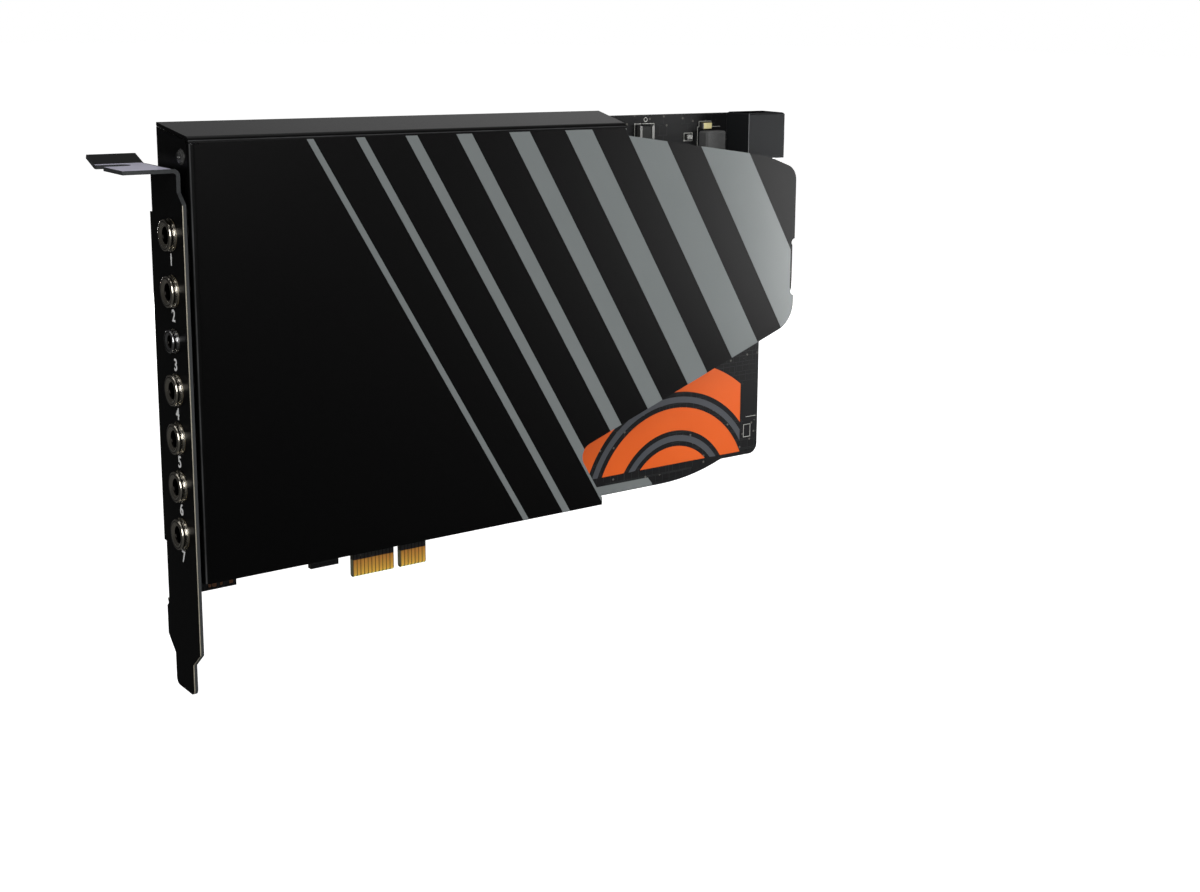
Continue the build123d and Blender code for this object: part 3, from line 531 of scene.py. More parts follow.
def worn_folds(tree, place):
    """Painted highlight lines, in patches along the upright fold at the left and the fold at the top."""
    lean_x, lean_y, lean_z = facing(tree)[:3]
    upright_fold = maths(tree, "MULTIPLY", both(tree, lean_x, lean_y), 2.0)
    upright_fold = maths(tree, "POWER", maths(tree, "MAXIMUM", upright_fold, 0.0), upright_fold_sharpness)
    off_fold = maths(tree, "SUBTRACT", lean_z, top_fold_lean)
    off_fold = maths(tree, "DIVIDE", off_fold, top_fold_spread)
    off_fold = maths(tree, "MULTIPLY", off_fold, off_fold)
    top_fold = maths(tree, "MAXIMUM", maths(tree, "SUBTRACT", 1.0, off_fold), 0.0)
    top_fold = both(tree, top_fold, maths(tree, "LESS_THAN", lean_y, -edge_lean))
    fold_highlight_mask = maths(tree, "MAXIMUM", upright_fold, both(tree, top_fold, top_fold_highlight_share))
    return both(tree, fold_highlight_mask, spread(tree, grain(tree, place, 70.0, 4.0), *fold_highlight_patches))


def cut_edges(tree, place):
    """One on the cut edges of the face plate, and nought on its folds."""
    lean_x, lean_y, lean_z = facing(tree)[:3]
    x, y, _ = parts_of(tree, place)
    edge = maths(tree, "LESS_THAN", maths(tree, "ABSOLUTE", lean_y), cut_edge_lean)
    edge = both(tree, edge, maths(tree, "LESS_THAN", y, shroud_face + 1.1 * shroud_sheet))
    edge = both(tree, edge, maths(tree, "GREATER_THAN", lean_x, -cut_edge_lean))
    upward = maths(tree, "GREATER_THAN", lean_z, cut_edge_lean)
    on_flange = both(tree, upward, maths(tree, "LESS_THAN", x, flange_right))
    return both(tree, edge, maths(tree, "SUBTRACT", 1.0, on_flange))


def textured_black():
    """Fine-textured black paint, with painted highlights along the folds and pale at the cut edges."""
    material, tree, shader = start_material("textured_black_paint")
    place = object_place(tree)
    flecks = grain(tree, place, 3400.0, 2.0)
    paint = blend(tree, flecks, shroud_black, shroud_fleck)
    # Painted highlights: the folds are tinted lighter by the direction they face.
    paint = blend(tree, worn_folds(tree, place), paint, fold_highlight_colour)
    feed(tree, shader, {
        "Base Color": blend(tree, cut_edges(tree, place), paint, cut_edge),
        "Roughness": spread(tree, flecks, *shroud_roughness),
        "Specular IOR Level": shroud_shine,
        "Normal": relief(tree, flecks, texture_relief, strength=0.12)})
    return material


def screen_ink(name, first, second, shine, roughness):
    """Coloured ink, thin enough to show the texture under it."""
    material, tree, shader = start_material(name)
    place = object_place(tree)
    flecks = grain(tree, place, 3400.0, 2.0)
    feed(tree, shader, {
        "Base Color": blend(tree, grain(tree, place, 70.0), first, second),
        "Roughness": spread(tree, flecks, roughness - ink_unevenness, roughness + ink_unevenness),
        "Specular IOR Level": shine,
        "Normal": relief(tree, flecks, texture_relief, strength=0.08)})
    return material


def keep_faces(piece, test):
    """Delete every face of a piece that a test leaves out."""
    for face in piece.data.polygons:
        face.select = not test(face)
    bpy.ops.object.mode_set(mode="EDIT")
    bpy.ops.mesh.delete(type="FACE")
    bpy.ops.object.mode_set(mode="OBJECT")


def trim(point, outward):
    """Cut the active sheet along a line and drop what lies on the outward side."""
    bpy.ops.object.mode_set(mode="EDIT")
    bpy.ops.mesh.select_all(action="SELECT")
    bpy.ops.mesh.bisect(plane_co=point, plane_no=outward, clear_outer=True)
    bpy.ops.object.mode_set(mode="OBJECT")


def thicken(piece, thickness):
    """Give an open sheet its thickness, outwards from the face it lies on."""
    bpy.context.view_layer.objects.active = piece
    wall = piece.modifiers.new("ink", "SOLIDIFY")
    wall.thickness = thickness
    wall.offset = 1.0
    bpy.ops.object.modifier_apply(modifier=wall.name)


dress(textured_black(), "shroud")
print_grey = screen_ink("grey_screen_ink", ink_grey, ink_grey_pale, shine=0.16, roughness=0.2)
along_cut = (cut_head - cut_foot).normalized()
across_cut = Vector((along_cut.z, 0, -along_cut.x))
stripe_edge = cut_foot - across_cut * first_stripe_lead
stripe_width = first_stripe_width
for number in range(1, stripe_count + 1):
    stripe = merged_copy(f"grey_stripe_{number}", "shroud")
    keep_faces(stripe, lambda face: face.normal.y < -0.999 and face.center.y < shroud_face + tolerance)
    trim(stripe_edge, -across_cut)
    stripe_edge = stripe_edge + across_cut * stripe_width
    trim(stripe_edge, across_cut)
    thicken(stripe, ink_thickness)
    finish_piece(stripe, print_grey)
    stripe_edge = stripe_edge + across_cut * stripe_gap
    stripe_width = stripe_width * stripe_growth

# Board print: plain orange and grey arcs, a grey strip and white outlines, screen-printed on the component
# side. The arcs rise from the lower edge in the corner that the shroud leaves open.
ink_orange = (0.48, 0.07, 0.006, 1)
ink_orange_pale = (0.52, 0.083, 0.009, 1)
ink_slate = (0.042, 0.045, 0.052, 1)
ink_slate_pale = (0.052, 0.055, 0.062, 1)
arc_centre = Vector((87 * mm, board_low.y, 3 * mm))
orange_rings = [(10 * mm, 15.5 * mm), (20 * mm, 26.5 * mm), (31 * mm, 39 * mm)]
slate_rings = [(16.9 * mm, 18.6 * mm), (27.9 * mm, 29.6 * mm)]
arc_floor = 13.4 * mm
arc_margin = 6.6 * mm
outline_width = 0.14 * mm
legend_pale = (0.42, 0.42, 0.39, 1)
legend_worn = (0.28, 0.28, 0.26, 1)
fuse_low, fuse_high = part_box("input_fuse")
lamp_low, lamp_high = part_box("status_lamp")
cream_low, cream_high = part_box("cream_capacitor")
coil_low, coil_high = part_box("moulded_coil")
board_floor = 8.3 * mm
grey_strip = (52.7 * mm, 79.7 * mm, board_floor + 0.15 * mm, board_floor + 2.6 * mm)
strip_corner = 1.5 * mm
strip_slant = Vector((1, 0, 0.8))
fuse_end_margin = 0.9 * mm
fuse_side_margin = 0.6 * mm
lamp_margin = 0.5 * mm
corner_box = (112.7 * mm, 115.3 * mm, 17.4 * mm, 21.2 * mm)
corner_rule = [(113.6 * mm, 23.4 * mm), (117.2 * mm, 23.4 * mm)]
step_low = cream_low.z + 0.5 * mm
step_high = cream_high.z + 0.4 * mm
step_left = cream_low.x - 0.5 * mm
step_right = cream_high.x + 0.5 * mm
coil_left = coil_low.x - 0.6 * mm
coil_right = coil_high.x + 0.3 * mm
fuse_mark_place = Vector((fuse_high.x - 2.0 * mm, board_low.y, fuse_high.z + 1.6 * mm))
fuse_mark_radii = (0.45 * mm, 0.62 * mm)


def flat_ring(name, centre, inner, outer):
    """A flat ring on the board's component side, facing away from it."""
    bpy.ops.object.select_all(action="DESELECT")
    bpy.ops.mesh.primitive_circle_add(
        vertices=160, radius=outer, fill_type="NGON", location=centre, rotation=(math.pi / 2, 0, 0))
    ring = bpy.context.object
    ring.name = name
    bpy.ops.object.transform_apply(location=True, rotation=True, scale=True)
    bpy.ops.object.mode_set(mode="EDIT")
    bpy.ops.mesh.select_all(action="SELECT")
    bpy.ops.mesh.inset(thickness=outer - inner)
    bpy.ops.mesh.delete(type="FACE")
    bpy.ops.object.mode_set(mode="OBJECT")
    return ring


def flat_panel(name, left, right, low, high):
    """A flat rectangle on the board's component side, facing away from it."""
    middle = ((left + right) / 2, board_low.y, (low + high) / 2)
    bpy.ops.object.select_all(action="DESELECT")
    bpy.ops.mesh.primitive_plane_add(size=1.0, location=middle, rotation=(math.pi / 2, 0, 0))
    panel = bpy.context.object
    panel.name = name
    panel.scale = (right - left, high - low, 1)
    bpy.ops.object.transform_apply(location=True, rotation=True, scale=True)
    return panel


def outline_box(name, left, right, low, high):
    """A thin white rectangle printed on the board."""
    frame_line = flat_panel(name, left, right, low, high)
    bpy.ops.object.mode_set(mode="EDIT")
    bpy.ops.mesh.select_all(action="SELECT")
    bpy.ops.mesh.inset(thickness=outline_width)
    bpy.ops.mesh.delete(type="FACE")
    bpy.ops.object.mode_set(mode="OBJECT")
    thicken(frame_line, ink_thickness)
    finish_piece(frame_line, print_legend)


def outline_run(name, corners):
    """A thin white line of upright and level stretches printed on the board, from X and Z corners."""
    stretches = []
    half = outline_width / 2
    for (first_x, first_z), (next_x, next_z) in zip(corners, corners[1:]):
        stretches.append(flat_panel(
            name, min(first_x, next_x) - half, max(first_x, next_x) + half,
            min(first_z, next_z) - half, max(first_z, next_z) + half))
    for stretch in stretches:
        stretch.select_set(True)
    bpy.context.view_layer.objects.active = stretches[0]
    if len(stretches) > 1:
        bpy.ops.object.join()
    thicken(stretches[0], ink_thickness)
    finish_piece(stretches[0], print_legend)


print_legend = white_ink("board_legend_ink", legend_pale, legend_worn)
print_orange = screen_ink("orange_screen_ink", ink_orange, ink_orange_pale, shine=0.12, roughness=0.4)
print_slate = screen_ink("slate_screen_ink", ink_slate, ink_slate_pale, shine=0.12, roughness=0.4)
for title, rings, ink in [("orange", orange_rings, print_orange), ("slate", slate_rings, print_slate)]:
    for number, (inner, outer) in enumerate(rings, 1):
        arc = flat_ring(f"{title}_arc_{number}", arc_centre, inner, outer)
        trim(Vector((0, 0, arc_floor)), Vector((0, 0, -1)))
        trim(Vector((board_high.x - arc_margin, 0, 0)), Vector((1, 0, 0)))
        thicken(arc, ink_thickness)
        finish_piece(arc, ink)
strip = flat_panel("grey_board_strip", *grey_strip)
trim(Vector((grey_strip[1] - strip_corner, 0, grey_strip[3])), strip_slant)
thicken(strip, ink_thickness)
finish_piece(strip, print_grey)
outline_box(
    "fuse_outline", fuse_low.x - fuse_end_margin, fuse_high.x + fuse_end_margin,
    fuse_low.z - fuse_side_margin, fuse_high.z + fuse_side_margin)
outline_box(
    "lamp_outline", lamp_low.x - lamp_margin, lamp_high.x + lamp_margin,
    lamp_low.z - lamp_margin, lamp_high.z + lamp_margin)
outline_box("corner_outline", *corner_box)
outline_run("corner_rule", corner_rule)
outline_run("coil_outline", [
    (coil_left, coil_low.z), (coil_left, step_low), (step_left, step_low), (step_left, step_high),
    (step_right, step_high), (step_right, step_low), (coil_right, step_low)])
fuse_mark = flat_ring("fuse_mark", fuse_mark_place, *fuse_mark_radii)
thicken(fuse_mark, ink_thickness)
finish_piece(fuse_mark, print_legend)

# Test pads: small bare copper pads on the plain tab at the lower left of the board.
# They are etched with the tracks and left free of solder mask.
copper = (0.42, 0.2, 0.11, 1)
copper_dull = (0.2, 0.11, 0.07, 1)
pad_level = 5.5 * mm
pad_places = [
    (-48.7 * mm, 0.35 * mm), (-47.6 * mm, 0.55 * mm), (-45.9 * mm, 0.3 * mm), (-43.5 * mm, 0.5 * mm)]
pad_half_height = 0.55 * mm
pad_corner = 0.2 * mm
metal_unevenness = 0.07
mark_relief = 0.01 * mm


def bright_metal(name, first, second, roughness):
    """Plain bare or plated metal with fine marks."""
    material, tree, shader = start_material(name)
    marks = grain(tree, object_place(tree), 1100.0, 5.0)
    feed(tree, shader, {
        "Base Color": blend(tree, marks, first, second),
        "Metallic": 1.0,
        "Roughness": spread(tree, marks, roughness - metal_unevenness, roughness + metal_unevenness),
        "Normal": relief(tree, marks, mark_relief, strength=0.4)})
    return material


bare_copper = bright_metal("bare_copper", copper, copper_dull, roughness=0.35)
for number, (pad_x, pad_half_width) in enumerate(pad_places, 1):
    pad = flat_panel(
        f"test_pad_{number}", pad_x - pad_half_width, pad_x + pad_half_width,
        pad_level - pad_half_height, pad_level + pad_half_height)
    bpy.ops.object.mode_set(mode="EDIT")
    bpy.ops.mesh.select_all(action="SELECT")
    bpy.ops.mesh.bevel(offset=pad_corner, segments=3, affect="VERTICES")
    bpy.ops.object.mode_set(mode="OBJECT")
    thicken(pad, ink_thickness)
    finish_piece(pad, bare_copper)

# Power header: a six-way housing moulded in charcoal plastic with softly rounded edges, a painted highlight
# line on its upright corners, and tinned square pins that turn down to the board.
header_charcoal = (0.012, 0.0128, 0.0136, 1)
header_charcoal_pale = (0.014, 0.0148, 0.0156, 1)
# Pale grey on the header's upright corners: a painted highlight.
header_corner_highlight = (0.6, 0.61, 0.62, 1)
header_relief = 0.04 * mm
moulded_edge = 0.25 * mm
tin_bright = (0.72, 0.72, 0.71, 1)
tin_dull = (0.55, 0.55, 0.55, 1)


def flatten_faces(piece):
    """Keep the broad faces of the active piece flat up to its rounded edges."""
    flat = piece.modifiers.new("flat_faces", "WEIGHTED_NORMAL")
    flat.keep_sharp = True
    bpy.ops.object.modifier_apply(modifier=flat.name)


header = merged_copy("header_housing", "power_header_housing")
soften(header, moulded_edge)
flatten_faces(header)
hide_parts("power_header_housing")
header_plastic = moulded_plastic(
    "header_plastic", header_charcoal, header_charcoal_pale, roughness=0.48, depth=header_relief,
    corner_highlight=header_corner_highlight, shine=0.045)
finish_piece(header, header_plastic)
tin = bright_metal("bright_tin", tin_bright, tin_dull, roughness=0.32)
dress(tin, "power_header_pins")

# Small parts in the gap beside the header: a coil pressed from iron powder, a fuse with tinned end caps,
# a cream chip capacitor and a pale lamp with tinned ends. All are soldered flat to the board.
powder_grey = (0.055, 0.056, 0.056, 1)
powder_pale = (0.11, 0.111, 0.11, 1)
fuse_body = (0.006, 0.0065, 0.006, 1)
fuse_body_pale = (0.01, 0.0105, 0.01, 1)
cap_tin = (0.15, 0.15, 0.145, 1)
cap_metal_share = 0.8
fuse_cap = 0.72 * mm
cream_cap = 0.25 * mm
lamp_cap = 0.35 * mm
cream = (0.6, 0.52, 0.22, 1)
cream_pale = (0.74, 0.68, 0.38, 1)
lamp_white = (0.2, 0.2, 0.19, 1)
lamp_pale = (0.3, 0.3, 0.285, 1)
body_shine = 0.12
coil_edge = 0.1 * mm
coil_relief = 0.15 * mm


def tinned_ends(name, first, second, roughness, low, high, cap):
    """A moulded body that is tinned for a short length at each end along X."""
    material, tree, shader = start_material(name)
    place = object_place(tree)
    from_middle = maths(tree, "SUBTRACT", parts_of(tree, place)[0], (low.x + high.x) / 2)
    from_middle = maths(tree, "ABSOLUTE", from_middle)
    ends = maths(tree, "GREATER_THAN", from_middle, (high.x - low.x) / 2 - cap)
    body = blend(tree, grain(tree, place, 900.0), first, second)
    texture = grain(tree, place, 2400.0)
    feed(tree, shader, {
        "Base Color": blend(tree, ends, body, cap_tin),
        "Metallic": both(tree, ends, cap_metal_share),
        "Roughness": spread(tree, texture, roughness - plastic_unevenness, roughness + plastic_unevenness),
        "Specular IOR Level": body_shine})
    return material


coil = merged_copy("coil_body", "moulded_coil")
soften(coil, coil_edge)
flatten_faces(coil)
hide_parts("moulded_coil")
pressed_powder = moulded_plastic(
    "pressed_powder", powder_grey, powder_pale, roughness=0.75, depth=coil_relief)
finish_piece(coil, pressed_powder)
fuse_finish = tinned_ends(
    "fuse_with_tinned_caps", fuse_body, fuse_body_pale, 0.4, fuse_low, fuse_high, fuse_cap)
dress(fuse_finish, "input_fuse")
ceramic = tinned_ends("cream_ceramic", cream, cream_pale, 0.35, cream_low, cream_high, cream_cap)
dress(ceramic, "cream_capacitor")
lamp_resin = tinned_ends("pale_lamp_resin", lamp_white, lamp_pale, 0.2, lamp_low, lamp_high, lamp_cap)
dress(lamp_resin, "status_lamp")

# Components under the shroud: black packages with tinned leads, aluminium cans on black bases, capped
# crystals, film capacitors, relays and chip resistors, all soldered to the component side.
package_black = (0.013, 0.013, 0.014, 1)
package_grey = (0.021, 0.021, 0.022, 1)
lead_height = 0.21 * mm
can_base_height = 0.92 * mm
can_pale = (0.66, 0.66, 0.67, 1)
can_dull = (0.55, 0.55, 0.56, 1)
film_blue = (0.2, 0.22, 0.26, 1)
film_pale = (0.26, 0.28, 0.32, 1)
relay_white = (0.6, 0.59, 0.56, 1)
relay_pale = (0.68, 0.67, 0.64, 1)
case_relief = 0.02 * mm
package_roughness = (0.3, 0.5)


def two_level(name, lower, upper, upper_pale, height, lower_metal, upper_metal):
    """A finish that changes at a height above the board: leads below a body, or a base below a can."""
    material, tree, shader = start_material(name)
    place = object_place(tree)
    is_lower = maths(tree, "GREATER_THAN", parts_of(tree, place)[1], board_low.y - height)
    marks = grain(tree, place, 1300.0, 4.0)
    body = blend(tree, marks, upper, upper_pale)
    feed(tree, shader, {
        "Base Color": blend(tree, is_lower, body, lower),
        "Metallic": spread(tree, is_lower, upper_metal, lower_metal),
        "Roughness": spread(tree, marks, *package_roughness),
        "Normal": relief(tree, marks, case_relief, strength=0.5)})
    return material


package_resin = two_level(
    "package_resin", tin_bright, package_black, package_grey, lead_height, lower_metal=1.0, upper_metal=0.0)
dress(package_resin, "audio_processor", "bus_bridge", "output_converter", "input_converter",
      "headphone_amplifier", "small_amplifiers", "voltage_regulators", "chip_resistors")
drawn_can = two_level(
    "drawn_aluminium", package_black, can_pale, can_dull, can_base_height, lower_metal=0.0, upper_metal=1.0)
dress(drawn_can, "electrolytic_capacitors")
dress(bright_metal("crystal_cap", can_pale, can_dull, roughness=0.3), "crystals")
film_case = moulded_plastic("film_case", film_blue, film_pale, roughness=0.35, depth=case_relief)
dress(film_case, "film_capacitors")
relay_case = moulded_plastic("relay_case", relay_white, relay_pale, roughness=0.35, depth=case_relief)
dress(relay_case, "relays")

# Fasteners: zinc-plated standoffs, threaded block and screws with cross recesses, and one blackened screw
# in the shroud's left end. Each screw is its CAD form with the recess cut into its head.
zinc_pale = (0.6, 0.6, 0.61, 1)
zinc_dull = (0.44, 0.45, 0.47, 1)
screw_black = (0.035, 0.035, 0.035, 1)
screw_worn = (0.2, 0.2, 0.195, 1)
recess_arm = 1.15 * mm
recess_width = 0.5 * mm
recess_depth = 0.7 * mm
recess_taper = 0.55
cut_margin = 0.2 * mm
head_spread = 6 * mm
end_screw_size = 0.7


def recess_cutter(place, outward, size):
    """A tapered cross that stands in a screw's head, pointing inwards."""
    bpy.ops.object.select_all(action="DESELECT")
    bpy.ops.mesh.primitive_plane_add(size=recess_width * size)
    cutter = bpy.context.object
    reach = recess_arm * size - recess_width * size / 2
    for side in (Vector((1, 0, 0)), Vector((-1, 0, 0)), Vector((0, 1, 0)), Vector((0, -1, 0))):
        bpy.ops.object.mode_set(mode="EDIT")
        bpy.ops.mesh.select_mode(type="EDGE")
        bpy.ops.mesh.select_all(action="DESELECT")
        bpy.ops.object.mode_set(mode="OBJECT")
        points = cutter.data.vertices
        for edge in cutter.data.edges:
            middle = (points[edge.vertices[0]].co + points[edge.vertices[1]].co) / 2
            edge.select = (middle - side * recess_width * size / 2).length < tolerance
        bpy.ops.object.mode_set(mode="EDIT")
        bpy.ops.mesh.extrude_region_move(TRANSFORM_OT_translate={"value": side * reach})
        bpy.ops.object.mode_set(mode="OBJECT")
    bpy.ops.object.mode_set(mode="EDIT")
    bpy.ops.mesh.select_mode(type="FACE")
    bpy.ops.mesh.select_all(action="SELECT")
    bpy.ops.mesh.extrude_region_move(
        TRANSFORM_OT_translate={"value": (0, 0, -(recess_depth * size + cut_margin))})
    bpy.ops.transform.resize(value=(recess_taper, recess_taper, 1))
    bpy.ops.mesh.select_all(action="SELECT")
    bpy.ops.mesh.normals_make_consistent(inside=False)
    bpy.ops.object.mode_set(mode="OBJECT")
    cutter.location = place + outward * cut_margin
    cutter.rotation_euler = outward.to_track_quat("Z", "Y").to_euler()
    bpy.ops.object.transform_apply(location=True, rotation=True, scale=True)
    return cutter


def recessed_screws(name, node, places, outward, size, material):
    """Cut a cross recess into each head of a CAD node's screws."""
    screws = merged_copy(name, node)
    for place in places:
        cutter = recess_cutter(place, outward, size)
        bpy.context.view_layer.objects.active = screws
        cut = screws.modifiers.new("recess", "BOOLEAN")
        cut.operation = "DIFFERENCE"
        cut.solver = "EXACT"
        cut.object = cutter
        bpy.ops.object.modifier_apply(modifier=cut.name)
        bpy.data.objects.remove(cutter)
    bpy.ops.object.select_all(action="DESELECT")
    screws.select_set(True)
    bpy.ops.object.shade_smooth_by_angle(angle=math.radians(30))
    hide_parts(node)
    finish_piece(screws, material)


def head_places(node, axis, level):
    """Middles of the screw heads of a CAD node that end at a level along an axis."""
    heads = []
    for vertex in nodes[node].data.vertices:
        if abs(vertex.co[axis] - level) < tolerance:
            for head in heads:
                if (head[0] - vertex.co).length < head_spread:
                    head.append(vertex.co.copy())
                    break
            else:
                heads.append([vertex.co.copy()])
    middles = []
    for head in heads:
        low = Vector([min(point[part] for point in head) for part in range(3)])
        high = Vector([max(point[part] for point in head) for part in range(3)])
        middles.append((low + high) / 2)
    return middles


zinc = bright_metal("zinc_plate", zinc_pale, zinc_dull, roughness=0.3)
dress(zinc, "corner_block", "standoffs")
blackened = turned_plating("blackened_steel", screw_black, screw_worn, metallic=0.7)
rear_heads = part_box("standoff_screws")[1].y
front_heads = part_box("bracket_screws")[0].y
end_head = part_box("flange_screw")[0].x
recessed_screws("rear_screws", "standoff_screws", head_places("standoff_screws", 1, rear_heads),
                Vector((0, 1, 0)), 1.0, zinc)
recessed_screws("bracket_fixing_screws", "bracket_screws", head_places("bracket_screws", 1, front_heads),
                Vector((0, -1, 0)), 1.0, zinc)
recessed_screws("shroud_end_screw", "flange_screw", head_places("flange_screw", 0, end_head),
                Vector((-1, 0, 0)), end_screw_size, blackened)

# Solder joints: cones of bright solder round the ends of the pins on the solder side of the board.
# One is shaped and copied to every pin of the sockets, header, film capacitors and relays.
solder_pale = (0.7, 0.7, 0.69, 1)
solder_dull = (0.5, 0.5, 0.5, 1)
joint_radius = 0.95 * mm
joint_height = 0.75 * mm
pin_radius = 0.32 * mm
pin_stub = 0.35 * mm
pin_chamfer = pin_radius * 0.3
joint_step = pin_radius * 0.25
leg_inset = 0.8 * mm
spring_half = 0.15 * mm
header_pin_half = 0.57 * mm
header_columns = 3
header_rows = 2
header_pitch = 4.2 * mm
header_foot_step = 3.2 * mm
film_count = 4
film_pin_inset = 1.2 * mm
film_step = 9.0 * mm
film_half_width = 2.5 * mm
relay_count = 2
relay_columns = 4
relay_end_inset = 1.4 * mm
relay_pin_inset = 1.0 * mm
relay_pitch = 2.6 * mm
relay_step = 15.0 * mm

pin_places = []
for number in jack_mounts:
    springs_low, springs_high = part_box(f"jack_{number}_springs")
    leg_x = springs_high.x - leg_inset
    pin_places += [(leg_x, springs_low.z + spring_half), (leg_x, springs_high.z - spring_half)]
pins_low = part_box("power_header_pins")[0]
for column in range(header_columns):
    for row in range(header_rows):
        pin_places.append((
            pins_low.x + header_pin_half + column * header_pitch,
            pins_low.z + header_pin_half + row * header_foot_step))
films_low, films_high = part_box("film_capacitors")
for count in range(film_count):
    film_z = films_low.z + film_half_width + count * film_step
    pin_places += [(films_low.x + film_pin_inset, film_z), (films_high.x - film_pin_inset, film_z)]
relays_low, relays_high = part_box("relays")
for count in range(relay_count):
    for column in range(relay_columns):
        relay_x = relays_low.x + relay_end_inset + count * relay_step + column * relay_pitch
        for relay_z in (relays_low.z + relay_pin_inset, relays_high.z - relay_pin_inset):
            pin_places.append((relay_x, relay_z))

bpy.ops.object.select_all(action="DESELECT")
bpy.ops.mesh.primitive_cone_add(
    vertices=20, radius1=joint_radius, radius2=pin_radius + joint_step, depth=joint_height,
    location=(0, board_high.y + joint_height / 2, 0), rotation=(-math.pi / 2, 0, 0))
joint = bpy.context.object
bpy.ops.object.transform_apply(location=True, rotation=True, scale=True)
for face in joint.data.polygons:
    face.select = face.normal.y > 0.9
bpy.ops.object.mode_set(mode="EDIT")
bpy.ops.mesh.select_mode(type="FACE")
bpy.ops.mesh.inset(thickness=joint_step)
bpy.ops.mesh.extrude_region_move(TRANSFORM_OT_translate={"value": (0, pin_stub, 0)})
bpy.ops.mesh.inset(thickness=pin_chamfer)
bpy.ops.transform.translate(value=(0, pin_chamfer, 0))
bpy.ops.object.mode_set(mode="OBJECT")
bpy.ops.object.shade_smooth_by_angle(angle=math.radians(50))
joints = []
for pin_x, pin_z in pin_places:
    copy = joint.copy()
    copy.data = joint.data.copy()
    bpy.context.collection.objects.link(copy)
    copy.location = (pin_x, 0, pin_z)
    joints.append(copy)
bpy.data.objects.remove(joint)
bpy.ops.object.select_all(action="DESELECT")
for copy in joints:
    copy.select_set(True)
bpy.context.view_layer.objects.active = joints[0]
bpy.ops.object.join()
bpy.ops.object.transform_apply(location=True, rotation=True, scale=True)
joints[0].name = "solder_joints"
finish_piece(joints[0], bright_metal("solder", solder_pale, solder_dull, roughness=0.28))

# Studio: a plain white floor, a white backdrop, soft lamps and the camera at the photograph's angle.
# The room in front of the card, which only shiny surfaces mirror, is dimmer than the backdrop.
floor_level = cad_low.z - 0.02 * mm
floor_size = 12.0
floor_glow = 0.82
far_floor_glow = 1.0
glow_near = 0.3
glow_far = 1.2
floor_pale = (0.8, 0.8, 0.8, 1)
floor_speckle = (0.82, 0.82, 0.82, 1)
floor_mirrored = (0.03, 0.03, 0.03, 1)
backdrop_way = Vector((0.96, 0.29, 0.0))
backdrop_floor = (0.45, 0.8)
backdrop_sky = (0.35, 0.95)
front_floor_share = 0.04
front_room_share = 0.03
fill_level = 0.06
white = (1, 1, 1, 1)


def ray_kinds(tree):
    """Masks for what the camera sees, straight or through something clear, and for what is mirrored."""
    rays = put(tree, "LightPath", {}).outputs
    seen = maths(tree, "MAXIMUM", rays["Is Camera Ray"], rays["Is Transmission Ray"])
    return seen, rays["Is Glossy Ray"]


def towards_backdrop(tree, place, front_share, start, end):
    """One towards the backdrop, falling to a small share in front of the card."""
    along = put(tree, "VectorMath", {0: place, 1: backdrop_way}, operation="DOT_PRODUCT").outputs["Value"]
    return spread(tree, along, front_share, 1.0, start, end)


def white_floor():
    """A white floor that the camera sees bright and that shiny pieces mirror dim in front of the card."""
    material, tree, shader = start_material("white_floor")
    place = object_place(tree)
    seen, mirror = ray_kinds(tree)
    pale = blend(tree, grain(tree, place, 40.0), floor_pale, floor_speckle)
    mirrored = both(tree, mirror, towards_backdrop(tree, place, front_floor_share, *backdrop_floor))
    distance = put(tree, "VectorMath", {0: place}, operation="LENGTH").outputs["Value"]
    glow = spread(tree, distance, floor_glow, far_floor_glow, glow_near, glow_far)
    feed(tree, shader, {
        "Base Color": blend(tree, mirror, pale, floor_mirrored),
        "Roughness": 0.9,
        "Specular IOR Level": 0.0,
        "Emission Color": white,
        "Emission Strength": both(tree, maths(tree, "MAXIMUM", seen, mirrored), glow)})
    return material


bpy.ops.object.select_all(action="DESELECT")
bpy.ops.mesh.primitive_plane_add(size=floor_size, location=(0, 0, floor_level))
floor = bpy.context.object
floor.name = "floor"
floor.data.materials.append(white_floor())

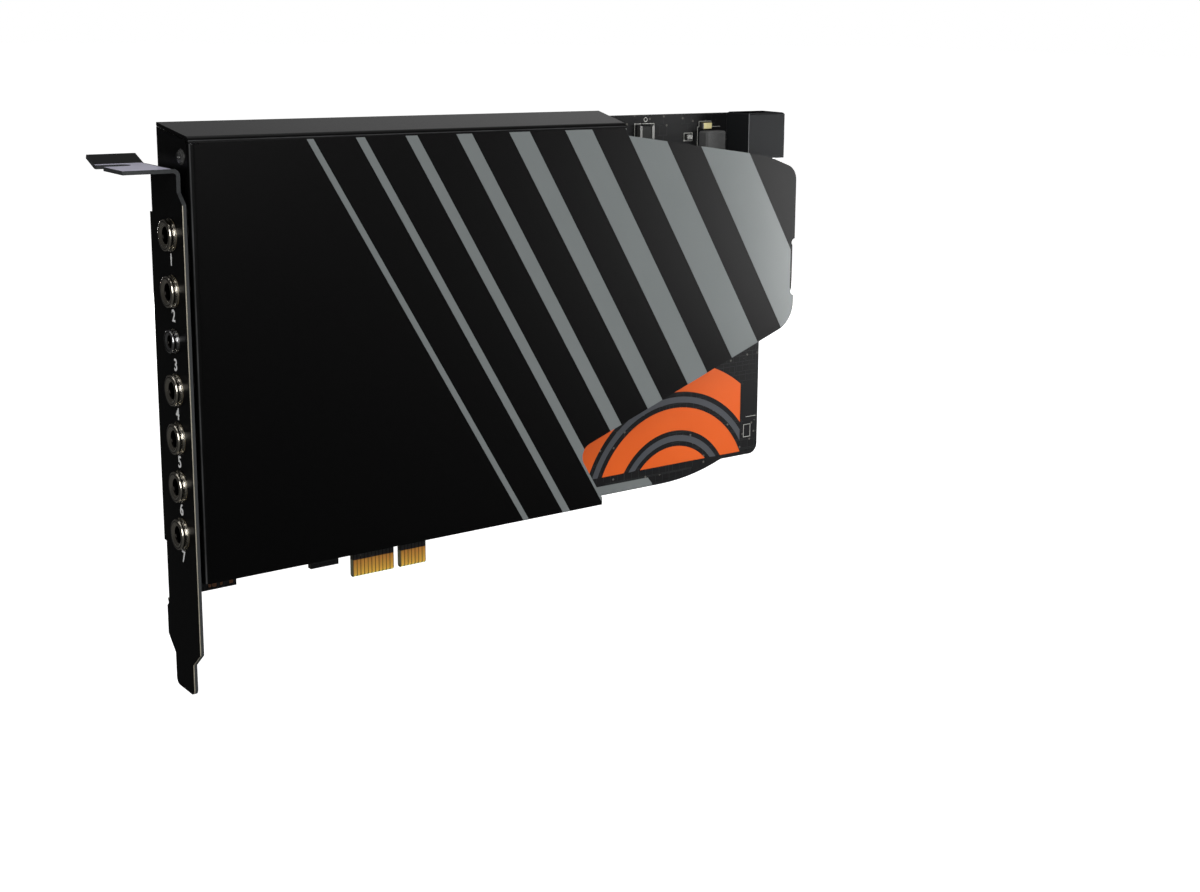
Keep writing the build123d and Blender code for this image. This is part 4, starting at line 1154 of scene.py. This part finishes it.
world = bpy.data.worlds.new("studio_surround")
bpy.context.scene.world = world
world.use_nodes = True
room = world.node_tree
surround = room.nodes["Background"]
seen, mirror = ray_kinds(room)
ray_way = put(room, "TexCoord", {}).outputs["Generated"]
mirrored = both(room, mirror, towards_backdrop(room, ray_way, front_room_share, *backdrop_sky))
filled = both(room, maths(room, "SUBTRACT", 1.0, mirror), fill_level)
strength = maths(room, "MAXIMUM", seen, maths(room, "ADD", mirrored, filled))
feed(room, surround, {"Color": white, "Strength": strength})

# Each lamp has a name, a place, a width and a height in metres, and a power in watts.
lamps = [
    ("right_lamp", (0.29, -0.15, 0.072), 0.1, 0.14, 0.65),
    ("front_lamp", (-0.4, -0.62, 0.35), 0.5, 0.5, 4.3),
    ("socket_lamp", (0.08, -0.36, 0.2), 0.06, 0.25, 0.3),
    ("top_lamp", (0.0, 0.1, 0.75), 0.6, 0.6, 1.6),
    ("rear_lamp", (0.22, 0.5, 0.045), 0.45, 0.09, 1.5),
]
aim = (cad_low + cad_high) / 2
for lamp_name, lamp_place, lamp_width, lamp_height, lamp_power in lamps:
    bpy.ops.object.light_add(type="AREA", location=lamp_place)
    lamp = bpy.context.object
    lamp.name = lamp_name
    lamp.data.shape = "RECTANGLE"
    lamp.data.size = lamp_width
    lamp.data.size_y = lamp_height
    lamp.data.energy = lamp_power
    lamp.visible_camera = False
    lamp.rotation_euler = (aim - Vector(lamp_place)).to_track_quat("-Z", "Y").to_euler()

image_width = 1200
camera_eye = Vector((-196.9, -365.5, 138.2)) * mm
camera_heading = math.radians(50.54)
camera_pitch = math.radians(10.84)
camera_roll = math.radians(1.1)
camera_shift = (-0.1, -0.09)
focal_pixels = 1696.8
bpy.ops.object.camera_add(location=camera_eye)
camera = bpy.context.object
camera.data.sensor_width = 36.0
camera.data.lens = focal_pixels / image_width * camera.data.sensor_width
camera.data.shift_x, camera.data.shift_y = camera_shift
camera.data.clip_start = 0.01
forward = Vector((
    math.cos(camera_heading) * math.cos(camera_pitch), math.sin(camera_heading) * math.cos(camera_pitch),
    -math.sin(camera_pitch)))
level_right = Vector((math.sin(camera_heading), -math.cos(camera_heading), 0))
level_up = level_right.cross(forward)
camera_right = level_right * math.cos(camera_roll) + level_up * math.sin(camera_roll)
camera_up = level_up * math.cos(camera_roll) - level_right * math.sin(camera_roll)
camera.rotation_euler = Matrix((camera_right, camera_up, -forward)).transposed().to_euler()
bpy.context.scene.camera = camera
bpy.context.scene.view_settings.view_transform = "Standard"
